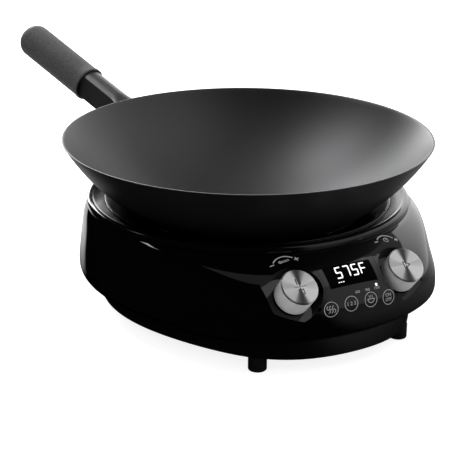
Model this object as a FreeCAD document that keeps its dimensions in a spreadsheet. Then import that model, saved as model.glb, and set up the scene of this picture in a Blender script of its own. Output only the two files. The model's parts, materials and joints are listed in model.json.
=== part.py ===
import FreeCAD, Part
import math
import os
import Sketcher

from FreeCAD import Vector

# Electric wok: a round-bottomed steel wok on an induction base with a concave glass bowl.
# Frame: millimetres, +Z up, origin on the counter below the wok's axis, front (controls) at -Y.

doc = FreeCAD.newDocument("electric_wok")

# ---------------------------------------------------------------- driving dimensions

SIZES = {
    "wok_rim_radius": 177.8,
    "wok_depth": 100.0,
    "wok_wall": 1.8,
    "wok_bottom_height": 65.9,
    "handle_azimuth": 106.0,
    "handle_elevation": 19.5,
    "handle_height": 151.0,
    "neck_length": 66.0,
    "neck_half_width": 10.6,
    "neck_radius": 15.9,
    "neck_wall": 2.0,
    "neck_bung": 8.0,
    "tang_radius": 6.0,
    "grip_start": 60.5,
    "grip_end": 168.0,
    "grip_radius": 17.6,
    "grip_mouth_radius": 16.2,
    "grip_dome": 13.0,
    "grip_screw_radius": 2.1,
    "lip_outer_radius": 155.6,
    "lip_inner_radius": 149.0,
    "lip_top": 109.6,
    "lip_seat": 103.1,
    "lip_round": 3.4,
    "deck_hole_radius": 144.0,
    "skirt_radius": 143.2,
    "glass_gap": 1.6,
    "glass_thickness": 4.0,
    "glass_dish_radius": 115.0,
    "glass_edge_radius": 136.0,
    "glass_edge_height": 105.4,
    "shelf_drop": 9.2,
    "shelf_thickness": 2.6,
    "rest_inner_radius": 98.0,
    "rest_outer_radius": 106.0,
    "parting_height": 31.5,
    "parting_gap": 0.1,
    "shell_wall": 2.8,
    "tray_bottom": 14.0,
    "tray_wall": 2.5,
    "knob_offset": 55.3,
    "knob_face_y": -188.5,
    "knob_face_height": 88.1,
    "knob_tilt": 49.0,
    "knob_radius": 17.25,
    "knob_height": 19.5,
    "knob_cap_wall": 1.4,
    "well_depth": 21.0,
    "well_radius": 24.5,
    "well_tip": 31.0,
    "well_tip_angle": 30.0,
    "well_wall": 1.8,
    "well_floor": 2.4,
    "shaft_radius": 3.0,
    "bushing_radius": 3.6,
    "plunger_radius": 2.2,
    "encoder_width": 13.0,
    "running_clearance": 0.05,
    "board_depth": 30.5,
    "board_thickness": 1.6,
    "console_half_width": 30.2,
    "console_top": 33.5,
    "seam_gap": 0.15,
    "display_width": 49.1,
    "display_height": 21.1,
    "display_y": -182.5,
    "display_z": 87.7,
    "window_thickness": 1.8,
    "key_row_height": 66.0,
    "key_pitch": 20.2,
    "foot_radius": 8.5,
    "foot_x": 75.5,
    "foot_front_y": -152.8,
    "foot_rear_y": 92.0,
    "fan_y": 82.0,
    "fan_radius": 43.0,
    "fan_bottom": 20.0,
    "fan_depth": 24.0,
    "fan_hole_spacing": 75.0,
    "power_board_height": 25.0,
    "power_board_y": -62.0,
    "power_board_width": 150.0,
    "power_board_depth": 96.0,
    "coil_inner_radius": 24.0,
    "coil_outer_radius": 92.0,
    "coil_post_radius": 4.0,
    "coil_post_ring": 98.0,
    "coil_post_azimuth": 25.0,
    "boss_ring": 132.0,
    "boss_azimuth": 40.0,
    "gland_x": 52.0,
    "gland_y": 150.0,
    "gland_height": 48.0,
    "gland_reach": 163.6,
}

sheet = doc.addObject("Spreadsheet::Sheet", "Sizes")
for row, (alias, number) in enumerate(SIZES.items(), start=1):
    sheet.set("A%d" % row, alias)
    sheet.set("B%d" % row, str(number))
    sheet.setAlias("B%d" % row, alias)
doc.recompute()


class Size:
    """A length that knows both its number and the sheet expression that drives it."""

    def __init__(self, value, text):
        self.value = value
        self.text = text

    def __add__(self, other):
        other = as_size(other)
        return Size(self.value + other.value, "(%s + %s)" % (self.text, other.text))

    def __sub__(self, other):
        other = as_size(other)
        return Size(self.value - other.value, "(%s - %s)" % (self.text, other.text))

    def __mul__(self, other):
        other = as_size(other)
        return Size(self.value * other.value, "(%s * %s)" % (self.text, other.text))

    def __truediv__(self, other):
        other = as_size(other)
        return Size(self.value / other.value, "(%s / %s)" % (self.text, other.text))

    def __neg__(self):
        return as_size(0) - self

    def root(self):
        return Size(math.sqrt(self.value), "sqrt(%s)" % self.text)


def as_size(number):
    if isinstance(number, Size):
        return number
    return Size(float(number), repr(float(number)))


def cell(alias):
    return Size(getattr(sheet, alias), "Sizes.%s" % alias)


def val(alias):
    return getattr(sheet, alias)


# ---------------------------------------------------------------- helpers

parts = {}


def register(label, item):
    item.Label = label
    parts[label] = item
    return item


def origin_plane(body, role):
    for feature in body.Origin.OriginFeatures:
        if feature.Role == role:
            return feature
    raise ValueError(role)


def pin_point(sketch, geometry, position, across, up):
    """Fix one sketch vertex to a pair of driven distances from the origin."""
    if across is not None:
        if abs(across.value) < 1e-9:
            sketch.addConstraint(Sketcher.Constraint("PointOnObject", geometry, position, -2))
        else:
            index = sketch.addConstraint(
                Sketcher.Constraint("DistanceX", -1, 1, geometry, position, across.value))
            sketch.setExpression("Constraints[%d]" % index, across.text)
    if up is not None:
        if abs(up.value) < 1e-9:
            sketch.addConstraint(Sketcher.Constraint("PointOnObject", geometry, position, -1))
        else:
            index = sketch.addConstraint(
                Sketcher.Constraint("DistanceY", -1, 1, geometry, position, up.value))
            sketch.setExpression("Constraints[%d]" % index, up.text)


def arc_from(start, end, radius, side):
    """Arc from start to end; side +1 bows it to the right of that direction, -1 to the left."""
    chord = end - start
    middle = (start + end) * 0.5
    height = math.sqrt(max(radius ** 2 - (chord.Length / 2) ** 2, 0.0))
    left = Vector(-chord.y, chord.x, 0).normalize()
    centre = middle + left * height * side
    from_start = math.atan2(start.y - centre.y, start.x - centre.x)
    from_end = math.atan2(end.y - centre.y, end.x - centre.x)
    circle = Part.Circle(centre, Vector(0, 0, 1), radius)
    if side > 0:
        return Part.ArcOfCircle(circle, from_start, from_end), 1, 2
    return Part.ArcOfCircle(circle, from_end, from_start), 2, 1


def draw_outline(sketch, corners, arcs):
    """Closed outline through corners; arcs maps a corner's index to (radius, side)."""
    corners = [(as_size(across), as_size(up)) for across, up in corners]
    points = [Vector(across.value, up.value, 0) for across, up in corners]
    ends = []
    for index, start in enumerate(points):
        end = points[(index + 1) % len(points)]
        if index in arcs:
            radius, side = arcs[index]
            curve, first, last = arc_from(start, end, as_size(radius).value, side)
        else:
            curve, first, last = Part.LineSegment(start, end), 1, 2
        ends.append((sketch.addGeometry(curve, False), first, last))
    for index, (geometry, first, last) in enumerate(ends):
        following, next_first, _ = ends[(index + 1) % len(ends)]
        sketch.addConstraint(
            Sketcher.Constraint("Coincident", geometry, last, following, next_first))
    for (geometry, first, _), (across, up) in zip(ends, corners):
        pin_point(sketch, geometry, first, across, up)
    for index, (radius, _) in arcs.items():
        radius = as_size(radius)
        item = sketch.addConstraint(Sketcher.Constraint("Radius", ends[index][0], radius.value))
        sketch.setExpression("Constraints[%d]" % item, radius.text)


def outline_sketch(body, name, role, corners, arcs=None):
    sketch = body.newObject("Sketcher::SketchObject", name)
    sketch.AttachmentSupport = [(origin_plane(body, role), "")]
    sketch.MapMode = "FlatFace"
    draw_outline(sketch, corners, arcs or {})
    return sketch


def turned(label, corners, arcs=None, place=None):
    """Body turned about its own Z axis from an outline of (radius, height) corners."""
    body = doc.addObject("PartDesign::Body", label)
    sketch = outline_sketch(body, label + "_outline", "XZ_Plane", corners, arcs)
    turn = body.newObject("PartDesign::Revolution", label + "_turn")
    turn.Profile = sketch
    turn.ReferenceAxis = (sketch, ["V_Axis"])
    turn.Angle = 360
    body.Tip = turn
    if place is not None:
        body.Placement = place
    return register(label, body)


def padded(label, corners, thickness, place=None, arcs=None):
    """Plate with an outline in its own XY plane, padded up by thickness."""
    thickness = as_size(thickness)
    body = doc.addObject("PartDesign::Body", label)
    sketch = outline_sketch(body, label + "_outline", "XY_Plane", corners, arcs)
    pad = body.newObject("PartDesign::Pad", label + "_pad")
    pad.Profile = sketch
    pad.Length = thickness.value
    pad.setExpression("Length", thickness.text)
    body.Tip = pad
    if place is not None:
        body.Placement = place
    return register(label, body)


def feature(label, shape, place=None):
    item = doc.addObject("Part::Feature", label)
    item.Shape = shape
    if place is not None:
        item.Placement = place
    return register(label, item)


def rectangle(width, depth):
    width, depth = as_size(width) / 2, as_size(depth) / 2
    return [(-width, -depth), (width, -depth), (width, depth), (-width, depth)]


def ring_outline(inner, outer, low, high):
    return [(inner, low), (outer, low), (outer, high), (inner, high)]


def at(x, y, z, rotation=None):
    return FreeCAD.Placement(Vector(x, y, z), rotation or FreeCAD.Rotation())


def frame_rotation(x_axis, y_axis, z_axis):
    matrix = FreeCAD.Matrix(
        x_axis.x, y_axis.x, z_axis.x, 0,
        x_axis.y, y_axis.y, z_axis.y, 0,
        x_axis.z, y_axis.z, z_axis.z, 0,
        0, 0, 0, 1)
    return FreeCAD.Placement(matrix).Rotation


def copies(shape, placements):
    """One compound holding a copy of shape at each placement."""
    made = []
    for placement in placements:
        item = shape.copy()
        item.Placement = placement
        made.append(item)
    return Part.makeCompound(made)


def cylinder(radius, low, high, x=0.0, y=0.0):
    return Part.makeCylinder(radius, high - low, Vector(x, y, low))


def box(x_low, x_high, y_low, y_high, z_low, z_high):
    return Part.makeBox(x_high - x_low, y_high - y_low, z_high - z_low, Vector(x_low, y_low, z_low))


# ---------------------------------------------------------------- shared geometry

# The wok is a spherical cap; every dish under it shares its centre.
wok_sphere = (cell("wok_rim_radius") * cell("wok_rim_radius")
              + cell("wok_depth") * cell("wok_depth")) / (cell("wok_depth") * 2)
rim_height = cell("wok_bottom_height") + cell("wok_depth")
dish_centre = cell("wok_bottom_height") + wok_sphere


def dish_height(radius_out, sphere):
    """Height of the lower half of a sphere about the dish centre at a radius from the axis."""
    radius_out = as_size(radius_out)
    return dish_centre - (sphere * sphere - radius_out * radius_out).root()


def dish_shell(label, upper_sphere, thickness, inner, outer):
    """Ring of a spherical shell between two radii, hung below the dish centre."""
    lower_sphere = upper_sphere + thickness
    corners = [
        (inner, dish_height(inner, lower_sphere)),
        (outer, dish_height(outer, lower_sphere)),
        (outer, dish_height(outer, upper_sphere)),
        (inner, dish_height(inner, upper_sphere)),
    ]
    arcs = {0: (lower_sphere, 1), 2: (upper_sphere, -1)}
    return turned(label, corners, arcs)


# Plan sections of the two shells: rise above the shell's lower edge, radius at the sides and
# back, how far the control nose stands out in front of that radius, half-width of the nose in
# degrees, and how square its shoulders are.
HOUSING_SECTIONS = [
    (0.0, 154.8, 32.0, 46.0, 6.0),
    (3.5, 159.8, 32.4, 46.0, 6.5),
    (9.5, 163.2, 34.6, 45.5, 6.5),
    (20.5, 163.4, 36.8, 44.5, 6.5),
    (32.5, 162.2, 37.2, 44.0, 6.5),
    (44.5, 160.8, 33.8, 44.0, 6.5),
    (55.5, 159.4, 25.3, 48.5, 6.5),
    (64.5, 157.5, 14.2, 59.0, 6.5),
    (71.5, 154.9, 3.5, 73.0, 6.5),
]
TRAY_SECTIONS = [
    (0.0, 141.0, 46.0, 40.0, 3.4),
    (10.0, 145.5, 40.5, 40.5, 3.8),
    (17.4, 150.5, 34.5, 43.0, 4.5),
]
OUTLINE_POINTS = 48
FAR = 400.0
FOOT_SCREW_RADIUS = 2.0
BOSS_SCREW_RADIUS = 1.6
GLAND_RADIUS = 7.9


def egg_radius(angle, side, nose, width, square):
    """Plan radius of the base at an angle from the front."""
    return side + nose / (1.0 + (abs(angle) / width) ** square)


def egg_wire(height, side, nose, width, square):
    points = []
    for index in range(OUTLINE_POINTS):
        angle = -180.0 + 360.0 * index / OUTLINE_POINTS
        reach = egg_radius(angle, side, nose, width, square)
        turn = math.radians(angle)
        points.append(Vector(reach * math.sin(turn), -reach * math.cos(turn), height))
    curve = Part.BSplineCurve()
    curve.interpolate(points, PeriodicFlag=True)
    return Part.Wire([curve.toShape()])


def egg_solid(base, sections, inset=0.0):
    """Smooth solid through the sections, with its sides drawn in by inset."""
    wires = []
    for rise, side, nose, width, square in sections:
        wires.append(egg_wire(base + rise, side - inset, nose, width, square))
    return Part.makeLoft(wires, True, False)


def egg_front(height):
    """Y of the housing's front face at a height, by straight steps between sections."""
    rise = height - val("parting_height")
    for low, high in zip(HOUSING_SECTIONS, HOUSING_SECTIONS[1:]):
        if low[0] <= rise <= high[0]:
            part_way = (rise - low[0]) / (high[0] - low[0])
            reach_low, reach_high = low[1] + low[2], high[1] + high[2]
            return -(reach_low + part_way * (reach_high - reach_low))
    raise ValueError(height)


def below(height):
    return box(-FAR, FAR, -FAR, FAR, -FAR, height)


def ring_places(radius, azimuths):
    """Upright placements on a circle about the wok's axis, at azimuths from +X."""
    places = []
    for azimuth in azimuths:
        turn = math.radians(azimuth)
        places.append(at(radius * math.cos(turn), radius * math.sin(turn), 0))
    return places


# ---------------------------------------------------------------- the wok

def make_wok():
    wall = cell("wok_wall")
    inner_sphere = wok_sphere - wall
    rim = cell("wok_rim_radius")
    drop = dish_centre - rim_height
    rim_inner = (inner_sphere * inner_sphere - drop * drop).root()
    corners = [
        (0, cell("wok_bottom_height")),
        (rim, rim_height),
        (rim_inner, rim_height),
        (0, cell("wok_bottom_height") + wall),
    ]
    turned("wok_bowl", corners, {0: (wok_sphere, 1), 2: (inner_sphere, -1)})


def handle_frame():
    """Handle axis along +Z, its left side along +X, its top along +Y."""
    azimuth = math.radians(val("handle_azimuth"))
    lift = math.radians(val("handle_elevation"))
    axis = Vector(math.cos(azimuth) * math.cos(lift), math.sin(azimuth) * math.cos(lift),
                  math.sin(lift))
    side = Vector(-math.sin(azimuth), math.cos(azimuth), 0)
    top = axis.cross(side)
    foot = Vector(val("wok_rim_radius") * math.cos(azimuth),
                  val("wok_rim_radius") * math.sin(azimuth), val("handle_height"))
    return FreeCAD.Placement(foot, frame_rotation(side, top, axis))


def crowned_section(half_width, crown, edge, along):
    """Section across the handle axis: flat sides, top and bottom crowned between them."""
    left = [Vector(-half_width, edge, along), Vector(-half_width, -edge, along)]
    right = [Vector(half_width, -edge, along), Vector(half_width, edge, along)]
    top = Part.Arc(right[1], Vector(0, crown, along), left[0])
    bottom = Part.Arc(left[1], Vector(0, -crown, along), right[0])
    return Part.Wire([top.toShape(), Part.LineSegment(*left).toShape(), bottom.toShape(),
                      Part.LineSegment(*right).toShape()])


# Flare of the neck: distance along the axis, extra half-width, drop of the crowns, drop of the edges.
NECK_FLARE = [
    (-34.0, 16.0, 9.5, 7.0),
    (-22.0, 14.5, 5.5, 3.6),
    (-12.0, 12.0, 3.4, 1.2),
    (-5.0, 9.0, 2.6, 0.3),
    (0.0, 6.0, 2.4, 0.0),
    (4.0, 3.3, 1.8, 0.0),
    (8.0, 1.4, 1.0, 0.0),
    (12.0, 0.4, 0.3, 0.0),
    (16.0, 0.0, 0.0, 0.0),
]


def neck_block(inset):
    """Flared neck: wide where it is welded to the wok, then straight up to the grip."""
    half_width = val("neck_half_width") - inset
    crown = val("neck_radius") - inset
    edge = math.sqrt(crown ** 2 - half_width ** 2)
    sections = []
    for along, wider, crown_drop, edge_drop in NECK_FLARE:
        sections.append(crowned_section(half_width + wider, crown - crown_drop, edge - edge_drop,
                                        along))
    flare = Part.makeLoft(sections, True, False)
    straight = val("neck_length") - NECK_FLARE[-1][0]
    tube = Part.Face(sections[-1]).extrude(Vector(0, 0, straight))
    return flare.fuse(tube).removeSplitter()


def make_handle():
    place = handle_frame()
    wok = Part.makeSphere(wok_sphere.value, Vector(0, 0, dish_centre.value))
    solid_neck = neck_block(0.0)
    hollow = neck_block(val("neck_wall"))
    bung = box(-FAR, FAR, -FAR, FAR, val("neck_length") - val("neck_bung"), FAR)
    neck = solid_neck.cut(hollow.cut(bung))
    neck.Placement = place
    neck = neck.cut(wok)
    feature("handle_neck", max(neck.Solids, key=lambda solid: solid.Volume))

    end = cell("grip_end")
    tang_end = end - 12
    tang = cell("tang_radius")
    turned("handle_tang", ring_outline(0, tang, cell("neck_length"), tang_end), place=place)

    radius = cell("grip_radius")
    start = cell("grip_start")
    mouth = cell("grip_mouth_radius")
    socket = cell("neck_length") + 0.2
    clearance = cell("running_clearance")
    counterbore = end - 3
    head_hole, dome_top = 4.6, 6.0
    screw_hole = cell("grip_screw_radius") + 0.1
    lip_width, lip_height = 3.0, 0.5
    corners = [
        (mouth, start),
        (radius + lip_height, start),
        (radius + lip_height, start + lip_width),
        (radius, start + lip_width + 1),
        (radius + 0.2, end - cell("grip_dome")),
        (dome_top, end),
        (head_hole, end),
        (head_hole, counterbore),
        (screw_hole, counterbore),
        (screw_hole, tang_end + 0.1),
        (tang + clearance, tang_end + 0.1),
        (tang + clearance, socket),
        (mouth, socket),
    ]
    turned("handle_grip", corners, {4: (14.2, 1)}, place=place)

    shank, head, head_height = cell("grip_screw_radius"), 4.2, 1.6
    socket_radius, socket_depth = 1.5, 1.0
    corners = [
        (0, tang_end),
        (shank, tang_end),
        (shank, counterbore),
        (head, counterbore),
        (head, counterbore + head_height),
        (socket_radius, counterbore + head_height),
        (socket_radius, counterbore + head_height - socket_depth),
        (0, counterbore + head_height - socket_depth),
    ]
    turned("grip_screw", corners, place=place)


# ---------------------------------------------------------------- bowl and rim of the base

glass_sphere = wok_sphere + cell("glass_gap")


def make_bowl():
    thick = cell("glass_thickness")
    dish = cell("glass_dish_radius")
    edge = cell("glass_edge_radius")
    edge_height = cell("glass_edge_height")
    under_sphere = glass_sphere + thick
    under_dish = dish - 0.6
    corners = [
        (0, dish_centre - under_sphere),
        (under_dish, dish_height(under_dish, under_sphere)),
        (edge, edge_height - thick),
        (edge, edge_height),
        (dish, dish_height(dish, glass_sphere)),
        (0, dish_centre - glass_sphere),
    ]
    turned("glass_bowl", corners, {0: (under_sphere, 1), 4: (glass_sphere, -1)})

    trim_low = edge_height - thick - 0.2
    trim_inner, trim_outer = edge + 0.1, edge + 2.0
    corners = [
        (trim_inner, trim_low),
        (trim_outer, trim_low),
        (trim_outer, edge_height + 0.4),
        (trim_outer - 0.8, edge_height + 1.1),
        (trim_inner, edge_height + 0.6),
    ]
    turned("bowl_trim", corners)

    # The seal fills the wedge between the sloping glass and the shelf of the lip ring.
    seal_width = 9.5
    glass_rise = 3.6
    seal_low = edge_height - cell("shelf_drop") + 0.2
    seal_high = edge_height - thick - 0.25
    corners = [
        (edge - seal_width, seal_low),
        (edge, seal_low),
        (edge, seal_high),
        (edge - seal_width, seal_high - glass_rise),
    ]
    turned("bowl_seal", corners)

    rest_sphere = wok_sphere + 0.35
    foot_inner, foot_outer = cell("rest_inner_radius"), cell("rest_outer_radius")
    top_inner, top_outer = foot_inner + 0.8, foot_outer - 0.8
    corners = [
        (foot_inner, dish_height(foot_inner, glass_sphere)),
        (foot_outer, dish_height(foot_outer, glass_sphere)),
        (top_outer, dish_height(top_outer, rest_sphere)),
        (top_inner, dish_height(top_inner, rest_sphere)),
    ]
    turned("wok_rest_ring", corners, {0: (glass_sphere, 1), 2: (rest_sphere, -1)})


def make_lip():
    outer = cell("lip_outer_radius")
    inner = cell("lip_inner_radius")
    seat = cell("lip_seat")
    top = cell("lip_top")
    skirt = cell("skirt_radius")
    rounding = cell("lip_round")
    edge_bevel = 0.8
    glass_edge = cell("glass_edge_height")
    shelf_top = glass_edge - cell("shelf_drop")
    shelf_low = shelf_top - cell("shelf_thickness")
    bore = cell("glass_edge_radius") + 2.3
    shelf_bore = bore - 14
    corners = [
        (skirt, shelf_low),
        (skirt, seat),
        (outer - edge_bevel, seat),
        (outer, seat + edge_bevel),
        (outer, top - rounding),
        (outer - rounding, top),
        (inner + 1.6, top),
        (inner - 0.6, top - 1.0),
        (bore, glass_edge + 0.2),
        (bore, shelf_top),
        (shelf_bore, shelf_top),
        (shelf_bore, shelf_low),
    ]
    turned("lip_ring", corners, {4: (rounding, 1)})


# ---------------------------------------------------------------- induction coil under the glass

def make_coil():
    under_glass = glass_sphere + cell("glass_thickness")
    inner = cell("coil_inner_radius")
    outer = cell("coil_outer_radius")
    mica_gap, mica_thickness = 0.3, as_size(0.8)
    coil_gap, coil_thickness = 1.4, as_size(3.0)
    former_thickness = as_size(2.6)
    dish_shell("mica_sheet", under_glass + mica_gap, mica_thickness, inner - 8, outer + 4)
    dish_shell("induction_coil", under_glass + coil_gap, coil_thickness, inner, outer)
    former_sphere = under_glass + coil_gap + coil_thickness + 0.3
    dish_shell("coil_former", former_sphere, former_thickness, inner - 6, outer + 12)

    # Eight ferrite bars lie under the former like spokes.
    bars, bar_half_width, bar_inner, bar_outer, bar_thickness = 8, 6.0, 30.0, 86.0, 5.0
    ferrite_top = (former_sphere + former_thickness + 0.3).value
    centre = Vector(0, 0, dish_centre.value)
    shell = Part.makeSphere(ferrite_top + bar_thickness, centre)
    shell = shell.cut(Part.makeSphere(ferrite_top, centre))
    low, high = val("parting_height"), rim_height.value
    bar = shell.common(box(bar_inner, bar_outer, -bar_half_width, bar_half_width, low, high))
    turns = [at(0, 0, 0, FreeCAD.Rotation(Vector(0, 0, 1), 360.0 * (index + 0.5) / bars))
             for index in range(bars)]
    feature("ferrite_bars", copies(bar, turns))

    # Spring-loaded sensor in the middle of the coil, with its head just under the glass.
    sensor_top = dish_centre - under_glass - 0.3
    stem, head = 5.5, 8.5
    corners = [
        (0, sensor_top - 9),
        (stem, sensor_top - 9),
        (stem, sensor_top - 3),
        (head, sensor_top - 2.4),
        (head, sensor_top - 0.4),
        (0, sensor_top),
    ]
    turned("temperature_sensor", corners)
    cup_inner, cup_mouth, cup_outer = stem + 0.2, 7.6, 9.0
    corners = [
        (cup_inner, sensor_top - 16),
        (cup_outer, sensor_top - 16),
        (cup_outer, sensor_top - 2.8),
        (cup_mouth, sensor_top - 2.8),
        (cup_mouth, sensor_top - 10),
        (cup_inner, sensor_top - 10),
    ]
    turned("sensor_holder", corners)

    # Four posts on the tray floor carry the former's rim.
    radius, ring, azimuth = val("coil_post_radius"), val("coil_post_ring"), val("coil_post_azimuth")
    floor = val("tray_bottom") + val("tray_wall")
    top = dish_height(ring - radius, former_sphere + former_thickness).value - 0.05
    places = ring_places(ring, (azimuth, 180 - azimuth, 180 + azimuth, -azimuth))
    feature("coil_posts", copies(cylinder(radius, floor, top), places))


# ---------------------------------------------------------------- controls

def panel_frame(x):
    """Knob axis along +Z out of the panel, +X to the right, origin at the knob's face."""
    tilt = math.radians(val("knob_tilt"))
    outward = Vector(0, -math.cos(tilt), math.sin(tilt))
    along = Vector(1, 0, 0)
    return FreeCAD.Placement(Vector(x, val("knob_face_y"), val("knob_face_height")),
                             frame_rotation(along, outward.cross(along), outward))


def panel_point(y, z):
    """A point of the middle plane, given in the row frame, in the panel's own frame."""
    return panel_frame(0).inverse().multVec(Vector(0, y, z))


def teardrop(radius, tip, low, high, side):
    """Round prism with a pointed run-out up and towards the side of the base."""
    half_opening = math.acos(radius / tip)
    start = Vector(radius * math.cos(half_opening), radius * math.sin(half_opening), low)
    finish = Vector(start.x, -start.y, low)
    end = Vector(tip, 0, low)
    far = Vector(-radius, 0, low)
    edges = [Part.Arc(start, far, finish).toShape(),
             Part.LineSegment(finish, end).toShape(),
             Part.LineSegment(end, start).toShape()]
    solid = Part.Face(Part.Wire(edges)).extrude(Vector(0, 0, high - low))
    solid.rotate(Vector(0, 0, 0), Vector(0, 0, 1), val("well_tip_angle"))
    if side < 0:
        solid = solid.mirror(Vector(0, 0, 0), Vector(1, 0, 0))
    solid.Placement = panel_frame(side * val("knob_offset"))
    return solid


def well_blocks(gap):
    """The walls and floors of the two knob wells as solid blocks, each grown by gap."""
    wall = val("well_wall") + gap
    floor = -val("well_depth") - val("well_floor") - gap
    above = 20.0
    return [teardrop(val("well_radius") + wall, val("well_tip") + 2 * wall, floor, above, side)
            for side in (-1, 1)]


# Right half of the console's outline in the panel frame, below its straight upper sides.
CONSOLE_FOOT = [(36.0, -20.0), (49.0, -28.0), (53.0, -38.0)]


def console_prism(gap):
    """Block that cuts the centre console out of the front of the housing."""
    reach_in, reach_out = -60.0, 30.0
    half = [(val("console_half_width"), val("console_top")),
            (val("console_half_width"), -9.0)] + CONSOLE_FOOT
    right = [(x - gap, y) for x, y in half]
    right[0] = (right[0][0], right[0][1] - gap)
    right[-1] = (right[-1][0], right[-1][1] + gap)
    left = [(-x, y) for x, y in reversed(right)]
    points = [Vector(x, y, reach_in) for x, y in right + left]
    face = Part.Face(Part.makePolygon(points + points[:1]))
    solid = face.extrude(Vector(0, 0, reach_out - reach_in))
    solid.Placement = panel_frame(0)
    for block in well_blocks(gap):
        solid = solid.cut(block)
    return solid


def display_prism(gap):
    centre = panel_point(val("display_y"), val("display_z"))
    half_w = val("display_width") / 2 - gap
    half_h = val("display_height") / 2 - gap
    reach = 20.0
    solid = box(-half_w, half_w, centre.y - half_h, centre.y + half_h, -reach, reach)
    solid.Placement = panel_frame(0)
    return solid


def make_knob(name, x):
    """Turned cap on a moulded core, the shaft it turns with and the switch behind the shaft."""
    place = panel_frame(x)
    radius = cell("knob_radius")
    height = cell("knob_height")
    shaft = cell("shaft_radius")
    bevel, taper, top_wall = 0.9, 0.5, 1.2
    core = radius - cell("knob_cap_wall")
    corners = [
        (core, -height),
        (radius - taper, -height),
        (radius, -bevel),
        (radius - bevel, 0),
        (0, 0),
        (0, -top_wall),
        (core, -top_wall),
    ]
    turned(name + "_knob_cap", corners, place=place)

    clearance = cell("running_clearance")
    bushing_room = cell("bushing_radius") + 0.5
    core_low = -height + 0.4
    core_high = -top_wall - 0.05
    shaft_top, room_top = -5.0, -14.6
    corners = [
        (bushing_room, core_low),
        (core - 0.3, core_low),
        (core - 0.05, core_high),
        (0, core_high),
        (0, shaft_top),
        (shaft, shaft_top),
        (shaft, room_top),
        (bushing_room, room_top),
    ]
    turned(name + "_knob_core", corners, place=place)
    shaft_low, plunger_low = -23.0, -27.6
    turned(name + "_knob_shaft", ring_outline(0, shaft, shaft_low, shaft_top), place=place)
    plunger = cell("plunger_radius")
    turned(name + "_press_plunger", ring_outline(0, plunger, plunger_low, shaft_low - 0.05),
           place=place)

    half = val("encoder_width") / 2
    body_low, body_top, bushing_top = 0.02 - val("board_depth"), -24.0, -16.0
    plunger_room = body_low + 1.5
    body = box(-half, half, -half, half, body_low, body_top)
    body = body.fuse(cylinder(val("bushing_radius"), body_top, bushing_top))
    body = body.cut(cylinder((shaft + clearance).value, body_top - 0.2, bushing_top + 1))
    body = body.cut(cylinder((plunger + clearance * 2).value, plunger_room, body_top))
    feature(name + "_encoder", body, place)


def make_control_board():
    """Board behind the panel: its lower tongue carries the touch springs of the keys."""
    stand = val("board_depth")
    thickness = cell("board_thickness")
    place = panel_frame(0)
    level = place.multiply(at(0, 0, -(stand + thickness.value)))
    half_wide, half_tongue = 66.0, 38.0
    top_edge, shoulder, bottom_edge = 22.0, -14.0, -27.0
    corners = [
        (-half_tongue, bottom_edge),
        (half_tongue, bottom_edge),
        (half_tongue, shoulder),
        (half_wide, shoulder),
        (half_wide, top_edge),
        (-half_wide, top_edge),
        (-half_wide, shoulder),
        (-half_tongue, shoulder),
    ]
    padded("control_board", corners, thickness, place=level)

    # Display block, just under the window.
    lens = panel_point(val("display_y"), val("display_z"))
    half_w, half_h, under_lens = 24.0, 9.5, 4.6
    module = box(-half_w, half_w, lens.y - half_h, lens.y + half_h,
                 0.02 - stand, lens.z - under_lens)
    feature("display_module", module, place)

    # One touch spring behind each key.
    key = panel_point(egg_front(val("key_row_height")), val("key_row_height"))
    disc_radius, disc_thickness, spring_radius, under_skin = 4.4, 1.0, 2.4, 11.2
    disc_low = key.z - under_skin - disc_thickness
    springs = []
    for index in range(4):
        x = (index - 1.5) * val("key_pitch")
        disc = cylinder(disc_radius, disc_low, disc_low + disc_thickness, x, key.y)
        springs.append(disc.fuse(cylinder(spring_radius, -stand, disc_low, x, key.y)))
    feature("touch_springs", Part.makeCompound(springs), place)

    # Three lamps between the window and the keys show the power level.
    lamp_radius, lamp_height, lamp_drop = 1.5, 15.0, 14.0
    lamps = [cylinder(lamp_radius, -stand, lamp_height - stand, x, lens.y - lamp_drop)
             for x in (0.5, 10.5, 20.5)]
    feature("indicator_lamps", Part.makeCompound(lamps), place)

    buzzer_radius, buzzer_height = 6.0, 5.0
    buzzer_top = -stand - thickness.value - 0.05
    buzzer = cylinder(buzzer_radius, buzzer_top - buzzer_height, buzzer_top, -54.0, 12.0)
    feature("buzzer", buzzer, place)


# ---------------------------------------------------------------- shells of the base

def make_housing():
    """Glossy upper shell with the two knob wells let into its front, and the centre console."""
    base = val("parting_height")
    wall = val("shell_wall")
    top = base + HOUSING_SECTIONS[-1][0]
    outer = egg_solid(base, HOUSING_SECTIONS)
    inner = egg_solid(base, HOUSING_SECTIONS, wall)
    hollow = inner.common(below(top - wall))
    for block in well_blocks(0.0):
        hollow = hollow.cut(block)
    shell = outer.cut(hollow)
    shell = shell.cut(cylinder(val("deck_hole_radius"), top - 20, top + 10))
    shell = shell.cut(console_prism(0.0))
    well_rim = 40.0
    for side in (-1, 1):
        room = teardrop(val("well_radius"), val("well_tip"), -val("well_depth"), well_rim, side)
        bushing_hole = cylinder(val("bushing_radius") + 0.1, -well_rim, 0)
        bushing_hole.Placement = panel_frame(side * val("knob_offset"))
        shell = shell.cut(room).cut(bushing_hole)
    gland_hole = cylinder(GLAND_RADIUS + 0.1, val("boss_ring"), val("gland_reach") + 40)
    gland_hole.Placement = gland_frame()
    shell = shell.cut(gland_hole)
    feature("upper_housing", max(shell.Solids, key=lambda solid: solid.Volume))

    console = outer.cut(inner).common(console_prism(val("seam_gap")))
    console = console.cut(display_prism(0.0))
    feature("control_console", max(console.Solids, key=lambda solid: solid.Volume))
    thin = outer.cut(egg_solid(base, HOUSING_SECTIONS, val("window_thickness")))
    window = thin.common(display_prism(0.1))
    feature("display_window", max(window.Solids, key=lambda solid: solid.Volume))


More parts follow.
